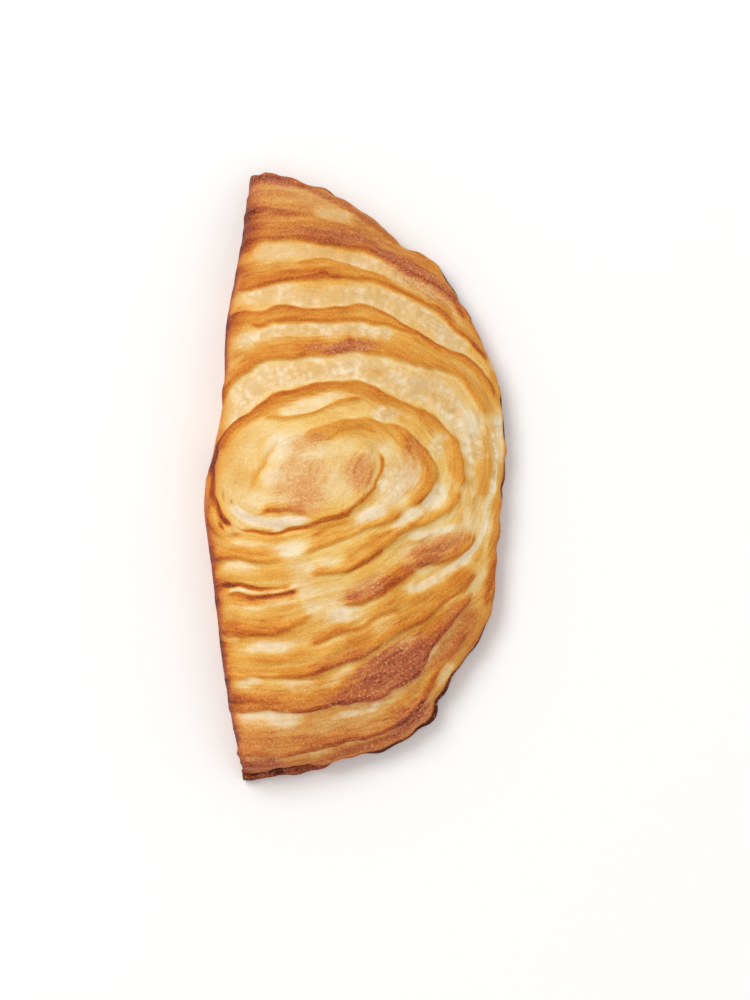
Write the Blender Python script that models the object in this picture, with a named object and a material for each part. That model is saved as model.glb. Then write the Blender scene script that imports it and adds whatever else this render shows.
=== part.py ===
"""Half-moon turnover of spiral-rolled flaky dough, baked and lying flat on its underside.

The disc of dough is folded once. The fold runs down -X and the two open edges meet down +X, where the
upper leaf rests on the lower leaf with a seam between them. Every dimension below is in millimetres, and
the mesh is built in metres. +Y is the long axis and +Z is up, with z = 0 at the flat underside.
"""

import bpy
import numpy as np

MM = 0.001

# Plan of the pastry: the bowed fold edge and the open rim, both from the upper tip to the lower corner.
FOLD_EDGE = ((-25.3, 77.0), (-28.9, 60.0), (-32.8, 38.0), (-33.2, 20.0), (-35.0, 6.0), (-37.4, -7.0),
             (-35.6, -27.0), (-33.4, -45.0), (-31.0, -61.0), (-28.0, -76.0))
RIM_EDGE = ((-22.2, 77.2), (-8.4, 72.9), (5.3, 63.5), (19.2, 53.0), (27.5, 41.2), (34.0, 28.0), (37.0, 9.0),
            (36.0, -8.0), (33.9, -26.0), (32.0, -36.4), (24.9, -47.8), (20.0, -57.4), (16.6, -63.4),
            (7.0, -69.4), (-8.0, -73.7), (-26.6, -76.6))

# Heights of the dome.
CREST_HEIGHT = 25.4         # top of the dome over the underside, before the plies stand up from it
TIP_HEIGHT = 8.0            # top surface at both ends of the fold
RIM_HEIGHT = 7.4            # top of the upper leaf at the open rim
CREST_PLACE = 0.38          # where the dome is highest, from the fold (0) to the rim (1)
CREST_SPREAD = 0.66         # under 1 keeps the dome high towards the tips
RIM_ROUNDING = 0.9          # under 1 fills the dome out towards the rim

# The round fold: how high its widest line lies, and how far it tucks under.
FOLD_LINE_SHARE = 0.30      # height of the widest line as a share of the dome there
FOLD_TUCK = 7.0             # how far the underside starts inside the widest line
TUCK_SHARE = 0.30           # the same as a share of a narrow section
FOLD_SQUARENESS = 2.5       # how upright the dough stands above the widest line
FOLD_ROUNDNESS = 0.46

# The open rim: the outline goes down over the upper leaf, into the seam and round the lower leaf.
# Each pair is the distance outside the rim edge and the share of RIM_HEIGHT.
LEAF_PROFILE = ((0.45, 0.86), (0.35, 0.68), (-1.6, 0.57), (0.6, 0.44), (1.0, 0.24), (0.6, 0.06))
LIP_OVERHANG = 1.4          # how much further the lower leaf reaches at the lower corner
LIP_START = 0.72            # where along the rim that starts, from the upper tip (0) to the corner (1)
LOWER_LEAF_POINTS = 3       # the last points of the profile, which belong to the lower leaf
BASE_INSET = 0.4            # the flat underside ends this far inside the rim edge
UPPER_LEAF_WAVES = ((5.0, 0.45, 0.4), (13.0, 0.25, 2.1))    # waves along the rim, size, phase
LOWER_LEAF_WAVES = ((4.0, 0.40, 1.7), (11.0, 0.30, 0.3))

# The plies: each is an arch across the pastry, given by its height at the fold edge, its turning point
# (x, y) and its end (x, y) at or near the rim. The first list lies above the eye, the second below it.
UPPER_PLIES = ((65.5, -20.0, 65.2, 12.0, 55.0), (58.0, -18.0, 58.8, 27.0, 40.0), (47.2, -7.0, 48.9, 29.5, 31.0),
               (35.8, -6.0, 36.9, 33.0, 22.0), (17.5, -9.0, 29.2, 31.0, 14.0), (3.0, -6.0, 18.8, 26.5, 1.0))
LOWER_PLIES = ((-22.5, -22.0, -24.3, 11.0, -12.8), (-29.5, -24.0, -31.4, 26.0, -7.5),
               (-38.5, -22.0, -40.8, 29.0, -16.0), (-50.5, -20.0, -52.0, 30.0, -26.0),
               (-58.5, -19.0, -60.0, 31.5, -32.0), (-68.0, -16.0, -68.6, 31.5, -38.0),
               (-73.6, -18.0, -74.2, 24.0, -51.0))
UPPER_BEND = 2.2            # how sharply an arch bends away from its turning point
LOWER_BEND = 1.6
PLY_RISE = 1.1              # how far a ply stands up from the dome
PLY_HALF_WIDTH = 1.9

# The eye: the raised oval start of the roll, and the rings that curve round its right side.
EYE_CENTRE = (-14.5, -1.5)
EYE_RADII = (21.0, 16.0)
EYE_RISE = 1.3
EYE_SOFT_EDGE = 0.16        # share of the oval over which its side slopes
RING_CENTRE_X = -6.0
RING_RADII = ((12.2, 11.0), (23.8, 13.5), (37.8, 24.0))
RING_REACH_X = 4.0          # rings fade out to the left of this line
FADE_LENGTH = 6.0           # over which a ply or ring fades at its end

# Mesh density.
STATIONS = 98
FOLD_POINTS = 5
TOP_POINTS = 35
SPLINE_STEPS = 16
RIDGE_MARGIN = 0.10         # share of the section over which plies flatten out at the rim and at the tips

CRUST_COLOUR = (0.62, 0.33, 0.12, 1.0)
CRUST_ROUGHNESS = 0.6


def clear_scene():
    for old in list(bpy.data.objects):
        bpy.data.objects.remove(old)


def smooth_step(low, high, value):
    share = np.clip((value - low) / (high - low), 0.0, 1.0)
    return share * share * (3.0 - 2.0 * share)


def curve_at(points, share):
    """Point on the smooth curve through points, at a share of its length."""
    given = np.array(points)
    padded = np.vstack([2 * given[0] - given[1], given, 2 * given[-1] - given[-2]])
    u = np.linspace(0.0, 1.0, SPLINE_STEPS, endpoint=False)[:, None]
    runs = []
    for before, start, end, after in zip(padded, padded[1:], padded[2:], padded[3:]):
        bend = 2 * before - 5 * start + 4 * end - after
        twist = 3 * start - 3 * end + after - before
        runs.append(start + 0.5 * ((end - before) * u + bend * u**2 + twist * u**3))
    path = np.vstack(runs + [given[-1:]])
    length = np.concatenate([[0.0], np.cumsum(np.linalg.norm(np.diff(path, axis=0), axis=1))])
    return np.stack([np.interp(share * length[-1], length, path[:, axis]) for axis in (0, 1)], axis=-1)


def dome_height(share_along):
    """Height of the dome's crest, low at both tips."""
    swell = np.sin(np.pi * np.clip(share_along, 0.0, 1.0)) ** CREST_SPREAD
    return TIP_HEIGHT + (CREST_HEIGHT - TIP_HEIGHT) * swell


def top_height(share_across, crest, fold_line):
    """Height of the plain top surface, from the fold's widest line (0) to the rim (1)."""
    near = 1.0 - np.clip(share_across / CREST_PLACE, 0.0, 1.0)
    rise = (1.0 - near**FOLD_SQUARENESS) ** FOLD_ROUNDNESS
    far = np.clip((1.0 - share_across) / (1.0 - CREST_PLACE), 0.0, 1.0)
    fall = np.sin(0.5 * np.pi * far) ** RIM_ROUNDING
    fold_side = fold_line + (crest - fold_line) * rise
    rim_side = RIM_HEIGHT + (crest - RIM_HEIGHT) * fall
    return np.where(share_across < CREST_PLACE, fold_side, rim_side)


def waves(share_along, parts):
    return sum(size * np.sin(2.0 * np.pi * count * share_along + phase) for count, size, phase in parts)


def leaf_outline(share_along, width):
    """The open rim's outline in one section: over the upper leaf, into the seam, round the lower leaf."""
    leaf = np.array(LEAF_PROFILE) * (1.0, RIM_HEIGHT)
    lip = LIP_OVERHANG * smooth_step(LIP_START, 1.0, share_along)
    narrow = min(1.0, TUCK_SHARE * width)
    leaf[:-LOWER_LEAF_POINTS, 0] += waves(share_along, UPPER_LEAF_WAVES) * narrow
    leaf[-LOWER_LEAF_POINTS:, 0] += waves(share_along, LOWER_LEAF_WAVES) * narrow + lip
    leaf[:, 0] = np.maximum(leaf[:, 0], -TUCK_SHARE * width) + width
    return leaf


def section(width, share_along):
    """Open outline of one section, from the underside at the fold to the underside at the rim.

    Each row holds the distance from the fold's widest line towards the rim, and the height.
    """
    crest = dome_height(share_along)
    fold_line = FOLD_LINE_SHARE * crest
    tuck = min(FOLD_TUCK, TUCK_SHARE * width)
    turn = np.linspace(0.0, 0.5 * np.pi, FOLD_POINTS, endpoint=False)
    wall = np.stack([tuck * (1.0 - np.sin(turn)), fold_line * (1.0 - np.cos(turn))], axis=1)
    share = 0.5 - 0.5 * np.cos(np.pi * np.linspace(0.0, 1.0, TOP_POINTS))
    top = np.stack([share * width, top_height(share, crest, fold_line)], axis=1)
    base = np.array([[width - min(BASE_INSET, TUCK_SHARE * width), 0.0]])
    return np.vstack([wall, top, leaf_outline(share_along, width), base])


def plain_surface():
    """Grid of points (station, point of the section, xyz) of the pastry without its plies."""
    along = np.linspace(0.0, 1.0, STATIONS)
    fold, rim = curve_at(FOLD_EDGE, along), curve_at(RIM_EDGE, along)
    rows = []
    for share, start, end in zip(along, fold, rim):
        width = np.linalg.norm(end - start)
        outline = section(width, share)
        plan = start + outline[:, :1] * (end - start) / width
        rows.append(np.column_stack([plan, outline[:, 1]]))
    return np.array(rows)


def arch(x, ply, bend):
    """Height y of a ply at x, and how steeply it runs there."""
    fold_y, turn_x, turn_y, end_x, end_y = ply
    fold_x = FOLD_EDGE[len(FOLD_EDGE) // 2][0]
    span = np.where(x < turn_x, fold_x - turn_x, end_x - turn_x)
    drop = np.where(x < turn_x, fold_y - turn_y, end_y - turn_y)
    share = np.abs((x - turn_x) / span)
    return turn_y + drop * share**bend, bend * drop * share ** (bend - 1.0) / span


def ply_rise(x, y):
    """How far the plies stand up at points of the plan, from 0 in a valley to 1 on a crest."""
    rise = np.zeros_like(x)
    for plies, bend in ((UPPER_PLIES, UPPER_BEND), (LOWER_PLIES, LOWER_BEND)):
        for ply in plies:
            crest_y, slope = arch(x, ply, bend)
            distance = (y - crest_y) / np.hypot(1.0, slope)
            reach = 1.0 - smooth_step(ply[3], ply[3] + FADE_LENGTH, x)
            rise = np.maximum(rise, reach * np.exp(-((distance / PLY_HALF_WIDTH) ** 2)))
    return rise


def ring_rise(x, y):
    """The rings that curve round the right side of the eye."""
    rise = np.zeros_like(x)
    for radius_x, radius_y in RING_RADII:
        share = np.hypot((x - RING_CENTRE_X) / radius_x, (y - EYE_CENTRE[1]) / radius_y)
        distance = (share - 1.0) * min(radius_x, radius_y)
        reach = smooth_step(RING_REACH_X, RING_REACH_X + FADE_LENGTH, x)
        rise = np.maximum(rise, reach * np.exp(-((distance / PLY_HALF_WIDTH) ** 2)))
    return rise


def eye_rise(x, y):
    share = np.hypot((x - EYE_CENTRE[0]) / EYE_RADII[0], (y - EYE_CENTRE[1]) / EYE_RADII[1])
    return EYE_RISE * (1.0 - smooth_step(1.0 - EYE_SOFT_EDGE, 1.0, share))


def surface_normals(grid):
    """Outward unit normals of the grid, from its neighbours along and across."""
    along = np.gradient(grid, axis=0)
    across = np.gradient(grid, axis=1)
    normals = np.cross(along, across)
    return normals / np.linalg.norm(normals, axis=2, keepdims=True)


def raise_plies(grid):
    """Moves the fold and the top out along their normals, and leaves the rim and the underside as they are."""
    x, y, z = np.moveaxis(grid, 2, 0)
    rise = PLY_RISE * np.maximum(ply_rise(x, y), ring_rise(x, y)) + eye_rise(x, y)
    point = np.arange(grid.shape[1])
    last_top = FOLD_POINTS + TOP_POINTS - 1
    rim_fade = 1.0 - smooth_step(last_top * (1.0 - RIDGE_MARGIN), last_top, point)
    base_fade = smooth_step(0, FOLD_POINTS, point)
    station = np.linspace(0.0, 1.0, grid.shape[0])
    tip_fade = smooth_step(0.0, RIDGE_MARGIN, station) * (1.0 - smooth_step(1.0 - RIDGE_MARGIN, 1.0, station))
    amount = rise * np.outer(tip_fade, rim_fade * base_fade)
    return grid + surface_normals(grid) * amount[:, :, None]


def centred(grid):
    """The grid moved so that the middle of its plan is at the origin."""
    middle = 0.5 * (grid.min(axis=(0, 1)) + grid.max(axis=(0, 1)))
    return grid - middle * (1.0, 1.0, 0.0)


def skin_faces(stations, points):
    """Quads over the grid, a flat cap at each tip and one flat face for the whole underside."""
    faces = []
    for row in range(stations - 1):
        for column in range(points - 1):
            start = row * points + column
            faces.append((start, start + points, start + points + 1, start + 1))
    last = (stations - 1) * points
    faces.append(tuple(range(points)))
    faces.append(tuple(range(last + points - 1, last - 1, -1)))
    rim_side = [row * points + points - 1 for row in range(stations)]
    fold_side = [row * points for row in range(stations - 1, -1, -1)]
    faces.append(tuple(rim_side + fold_side))
    return faces


def crust_material():
    material = bpy.data.materials.new("baked_crust")
    material.use_nodes = True
    shader = material.node_tree.nodes["Principled BSDF"]
    shader.inputs["Base Color"].default_value = CRUST_COLOUR
    shader.inputs["Roughness"].default_value = CRUST_ROUGHNESS
    return material


def build_turnover():
    grid = centred(raise_plies(plain_surface()))
    stations, points = grid.shape[:2]
    mesh = bpy.data.meshes.new("turnover")
    mesh.from_pydata((grid.reshape(-1, 3) * MM).tolist(), [], skin_faces(stations, points))
    mesh.validate()
    mesh.materials.append(crust_material())
    turnover = bpy.data.objects.new("turnover", mesh)
    bpy.context.scene.collection.objects.link(turnover)


clear_scene()
build_turnover()
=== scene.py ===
import bpy
import numpy as np
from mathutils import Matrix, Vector


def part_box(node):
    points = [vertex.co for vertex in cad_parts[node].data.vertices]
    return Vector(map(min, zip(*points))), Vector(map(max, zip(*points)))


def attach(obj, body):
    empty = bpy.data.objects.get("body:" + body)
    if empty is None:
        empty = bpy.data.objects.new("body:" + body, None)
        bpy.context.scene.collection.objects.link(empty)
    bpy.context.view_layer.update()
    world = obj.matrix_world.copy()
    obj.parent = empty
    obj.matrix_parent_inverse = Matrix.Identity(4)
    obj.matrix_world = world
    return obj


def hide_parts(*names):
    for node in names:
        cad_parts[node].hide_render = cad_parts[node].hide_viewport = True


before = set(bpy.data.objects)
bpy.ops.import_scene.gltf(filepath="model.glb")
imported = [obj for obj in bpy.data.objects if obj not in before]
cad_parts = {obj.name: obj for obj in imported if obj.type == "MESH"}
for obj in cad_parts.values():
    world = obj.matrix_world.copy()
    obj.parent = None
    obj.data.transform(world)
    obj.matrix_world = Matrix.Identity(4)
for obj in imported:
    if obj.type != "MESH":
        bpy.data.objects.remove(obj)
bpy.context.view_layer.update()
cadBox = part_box("turnover")
mm = 0.001
print("frame loaded, CAD box", cadBox)


def smoothStep(low, high, value):
    share = np.clip((value - low) / (high - low), 0.0, 1.0)
    return share * share * (3.0 - 2.0 * share)


def mixed(first, second, share):
    return first + (second - first) * share


# A broken line, read again at even steps of its length.
def evenly(line, count, toEnd=True):
    length = np.concatenate([[0], np.cumsum(np.linalg.norm(np.diff(line, axis=0), axis=1))])
    at = np.linspace(0, length[-1], count, endpoint=toEnd)
    return np.stack([np.interp(at, length, line[:, axis]) for axis in (0, 1)], axis=1)


# Smooth curve through a few points, read at a count of even steps or every so many mm.
def curveThrough(points, count=0, spacing=1.0, perSpan=16):
    given = np.array(points, float)
    padded = np.vstack([2 * given[0] - given[1], given, 2 * given[-1] - given[-2]])
    u = np.linspace(0, 1, perSpan, endpoint=False)[:, None]
    runs = []
    for before, start, end, after in zip(padded, padded[1:], padded[2:], padded[3:]):
        bend = 2 * before - 5 * start + 4 * end - after
        twist = 3 * start - 3 * end + after - before
        runs.append(start + 0.5 * ((end - before) * u + bend * u**2 + twist * u**3))
    path = np.vstack(runs + [given[-1:]])
    length = np.linalg.norm(np.diff(path, axis=0), axis=1).sum()
    return evenly(path, count or max(3, int(length / spacing)))


# The plain form in mm, close to the CAD solid's. The finished mesh is scaled to that solid's box.
form = {
    "foldEdge": ((-27.2, 76.1), (-29.1, 58.6), (-32.8, 36.8), (-33.2, 18.9), (-35.6, 5.0), (-37.9, -7.9),
                 (-35.6, -27.8), (-33.5, -45.7), (-31.0, -61.6), (-27.9, -74.9)),
    "rimEdge": ((-23.3, 76.1), (-15.6, 73.8), (-7.6, 71.0), (0.6, 67.2), (11.7, 57.4), (19.3, 52.5),
                (26.4, 40.4), (34.1, 25.9), (36.0, 8.0), (35.6, -8.9), (33.4, -26.8), (32.1, -36.5),
                (23.3, -51.5), (18.9, -57.4), (17.2, -61.7), (10.0, -65.9), (3.0, -68.1), (-9.0, -72.2),
                (-18.0, -74.2), (-28.2, -75.1)),
    "crestHeight": 25.0,       # top of the dome before the plies stand up from it
    "tipHeight": 8.0,
    "rimHeight": 7.4,          # top of the upper leaf at the open rim
    "crestPlace": 0.38,        # highest line, as a share of the way from fold to rim
    "crestSpread": 0.66,       # under 1 keeps the dome high over more of its length
    "rimRounding": 0.9,
    "foldLineShare": 0.30,     # height of the fold's widest line
    "foldTuck": 7.0,           # how far the underside starts inside it,
    "tuckShare": 0.30,         # at most this share of the width
    "foldSquareness": 2.5,
    "foldRoundness": 0.46,
    "lipOverhang": 1.4,        # extra reach of the leaves at the lower corner,
    "lipGrows": (0.72, 0.9),   # over this share of the length
    "lipBare": 1.9,            # how far the upper leaf stops short there, so that the lower one shows,
    "bareGrows": (0.88, 0.94),
    # round the two leaves at the open rim: distance outside the rim edge, share of rimHeight
    "leafProfile": ((0.0, 1.0), (0.55, 0.93), (0.9, 0.82), (0.8, 0.70), (-0.3, 0.61), (-1.7, 0.56),
                    (-0.7, 0.51), (0.4, 0.43), (0.8, 0.30), (0.75, 0.14), (0.3, 0.03), (-0.4, 0.0)),
    "lowerLeafFrom": 6,        # first point of leafProfile on the lower leaf
    "upperWaves": ((5.0, 0.35, 0.4), (13.0, 0.22, 2.1), (31.0, 0.16, 0.9)),    # count, size, phase
    "lowerWaves": ((4.0, 0.20, 1.7), (11.0, 0.18, 0.3), (27.0, 0.12, 2.6)),    # on top of the upper ones
    "stations": 418,
    "points": {"wall": 20, "top": 158, "leaf": 32, "base": 20},    # round each section
    "samples": {"wall": 30, "top": 240, "leaf": 120},              # its curves before they are evened out
}


def waves(along, parts):
    return sum(size * np.sin(2 * np.pi * count * along + phase) for count, size, phase in parts)


# One closed section: up the fold wall, over the dome, round the two leaves, back along the underside.
# Columns: distance from the fold's widest line towards the rim, height.
def sectionOutline(width, along):
    samples = form["samples"]
    swell = np.sin(np.pi * np.clip(along, 0, 1)) ** form["crestSpread"]
    crest = mixed(form["tipHeight"], form["crestHeight"], swell)
    foldLine = form["foldLineShare"] * crest
    narrow = form["tuckShare"] * width
    tuck = min(form["foldTuck"], narrow)
    turn = np.linspace(0, np.pi / 2, samples["wall"])
    wall = np.stack([tuck * (1 - np.sin(turn)), foldLine * (1 - np.cos(turn))], axis=1)

    share = (1 - np.cos(np.pi * np.linspace(0, 1, samples["top"]))) / 2
    near = 1 - np.clip(share / form["crestPlace"], 0, 1)
    climb = (1 - near ** form["foldSquareness"]) ** form["foldRoundness"]
    far = np.clip((1 - share) / (1 - form["crestPlace"]), 0, 1)
    fall = np.sin(np.pi / 2 * far) ** form["rimRounding"]
    dome = np.where(share < form["crestPlace"], mixed(foldLine, crest, climb),
                    mixed(form["rimHeight"], crest, fall))
    top = np.stack([share * width, dome], axis=1)

    # The groove between the leaves and their waves fade out where a tip is too narrow for them.
    leaf = np.array(form["leafProfile"]) * (1, form["rimHeight"])
    lower = form["lowerLeafFrom"]
    leaf[:, 0] -= np.minimum(leaf[:, 0], 0) * (1 - min(1.0, narrow / 2))
    calm = min(1.0, narrow)
    leaf[1:-1, 0] += waves(along, form["upperWaves"]) * calm
    leaf[lower:-1, 0] += waves(along, form["lowerWaves"]) * calm
    lip = form["lipOverhang"] * smoothStep(*form["lipGrows"], along)
    leaf[lower:-1, 0] += lip
    leaf[1:lower, 0] += lip - form["lipBare"] * smoothStep(*form["bareGrows"], along)
    leaf[:, 0] += width
    leaf = curveThrough(leaf, samples["leaf"])
    leaf[:, 1] = np.maximum(leaf[:, 1], 0)

    base = np.array([leaf[-1], wall[0]])
    zones = zip((wall, top, leaf, base), form["points"].values())
    return np.vstack([evenly(line, count, toEnd=False) for line, count in zones])


def plainSurface():
    along = np.linspace(0, 1, form["stations"])
    fold = curveThrough(form["foldEdge"], form["stations"])
    rim = curveThrough(form["rimEdge"], form["stations"])
    rimHeading = np.gradient(rim, axis=0)
    outward = np.column_stack([-rimHeading[:, 1], rimHeading[:, 0]])
    outward /= np.linalg.norm(outward, axis=1, keepdims=True)
    sections = []
    for share, start, end, out in zip(along, fold, rim, outward):
        width = np.linalg.norm(end - start)
        outline = sectionOutline(width, share)
        inner = np.minimum(outline[:, :1], width)
        plan = start + inner * (end - start) / width + (outline[:, :1] - inner) * out
        sections.append(np.column_stack([plan, outline[:, 1]]))
    return np.array(sections)


# The baked skin is worked out on a plan sheet, a quarter of a millimetre to a cell.
sheetStep = 0.25
sheetLow, sheetHigh = (-46.0, -82.0), (46.0, 82.0)
sheetXs, sheetYs = (np.arange(low, high + sheetStep / 2, sheetStep)
                    for low, high in zip(sheetLow, sheetHigh))
sheetX, sheetY = np.meshgrid(sheetXs, sheetYs)


def sheetWindow(path, reach):
    low, high = path.min(axis=0) - reach, path.max(axis=0) + reach
    left, right = np.searchsorted(sheetXs, [low[0], high[0]])
    bottom, top = np.searchsorted(sheetYs, [low[1], high[1]])
    return slice(bottom, top), slice(left, right)


def readSheet(field, x, y):
    across = np.clip((x - sheetLow[0]) / sheetStep, 0, field.shape[1] - 1.001)
    up = np.clip((y - sheetLow[1]) / sheetStep, 0, field.shape[0] - 1.001)
    i, j = across.astype(int), up.astype(int)
    u, v = across - i, up - j
    lower = (1 - u) * field[j, i] + u * field[j, i + 1]
    upper = (1 - u) * field[j + 1, i] + u * field[j + 1, i + 1]
    return (1 - v) * lower + v * upper


# Distance from a line (positive on the left of its travel), share along it, its direction and its length.
def nearestOn(path, x, y):
    start, run = path[:-1], path[1:] - path[:-1]
    size = np.linalg.norm(run, axis=1)
    dx, dy = x[:, None] - start[:, 0], y[:, None] - start[:, 1]
    t = np.clip((dx * run[:, 0] + dy * run[:, 1]) / size**2, 0, 1)
    gap = (dx - t * run[:, 0]) ** 2 + (dy - t * run[:, 1]) ** 2
    near = gap.argmin(axis=1)
    row = np.arange(len(x))
    side = np.sign(run[near, 0] * dy[row, near] - run[near, 1] * dx[row, near])
    before = np.concatenate([[0], np.cumsum(size)])
    along = (before[near] + t[row, near] * size[near]) / before[-1]
    return np.sqrt(gap[row, near]) * side, along, run[near] / size[near][:, None], before[-1]


def blurred(field, cells, passes=3):
    for axis in (0, 1):
        for _ in range(passes):
            pad = [(0, 0), (0, 0)]
            pad[axis] = (cells + 1, cells)
            total = np.cumsum(np.pad(field, pad, mode="edge"), axis=axis)
            ahead = np.take(total, np.arange(2 * cells + 1, total.shape[axis]), axis=axis)
            behind = np.take(total, np.arange(0, total.shape[axis] - 2 * cells - 1), axis=axis)
            field = (ahead - behind) / (2 * cells + 1)
    return field


def evened(field):
    return (field - field.mean()) / field.std()


def grain(cells, seed):
    rough = np.random.default_rng(seed).standard_normal(sheetX.shape)
    return evened(blurred(rough, cells) if cells else rough)


# Grain drawn out along a direction field, both ways, as dough is drawn out along its plies.
def drawnOut(field, alongX, alongY, reach, step=0.5):
    total, weight = field.copy(), 1.0
    steps = int(reach / step)
    for way in (1, -1):
        x, y, headX, headY = sheetX.copy(), sheetY.copy(), alongX * way, alongY * way
        for count in range(steps):
            x, y = x + headX * step, y + headY * step
            share = 0.5 + 0.5 * np.cos(np.pi * (count + 1) / (steps + 1))
            total += share * readSheet(field, x, y)
            weight += share
            nextX, nextY = readSheet(alongX, x, y), readSheet(alongY, x, y)
            turn = np.where(nextX * headX + nextY * headY < 0, -1.0, 1.0)
            size = np.maximum(np.hypot(nextX, nextY), 1e-6)
            headX, headY = nextX / size * turn, nextY / size * turn
    return evened(total / weight)


# The height whose slope is nearest to a wanted one everywhere: it counts millimetres across the plies.
def heightFromSlope(slopeX, slopeY):
    flow = np.zeros(slopeX.shape)
    midX = 0.5 * (slopeX[:, 1:] + slopeX[:, :-1])
    midY = 0.5 * (slopeY[1:] + slopeY[:-1])
    flow[:, 1:] += midX
    flow[:, :-1] -= midX
    flow[1:] += midY
    flow[:-1] -= midY
    whole = np.block([[flow, flow[:, ::-1]], [flow[::-1], flow[::-1, ::-1]]])
    tall, wide = whole.shape
    stiffY, stiffX = (2 - 2 * np.cos(2 * np.pi * np.arange(size) / size) for size in (tall, wide))
    stiff = stiffY[:, None] + stiffX
    stiff[0, 0] = 1
    return np.fft.ifft2(np.fft.fft2(whole) / stiff).real[:tall // 2, :wide // 2] * sheetStep


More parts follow.
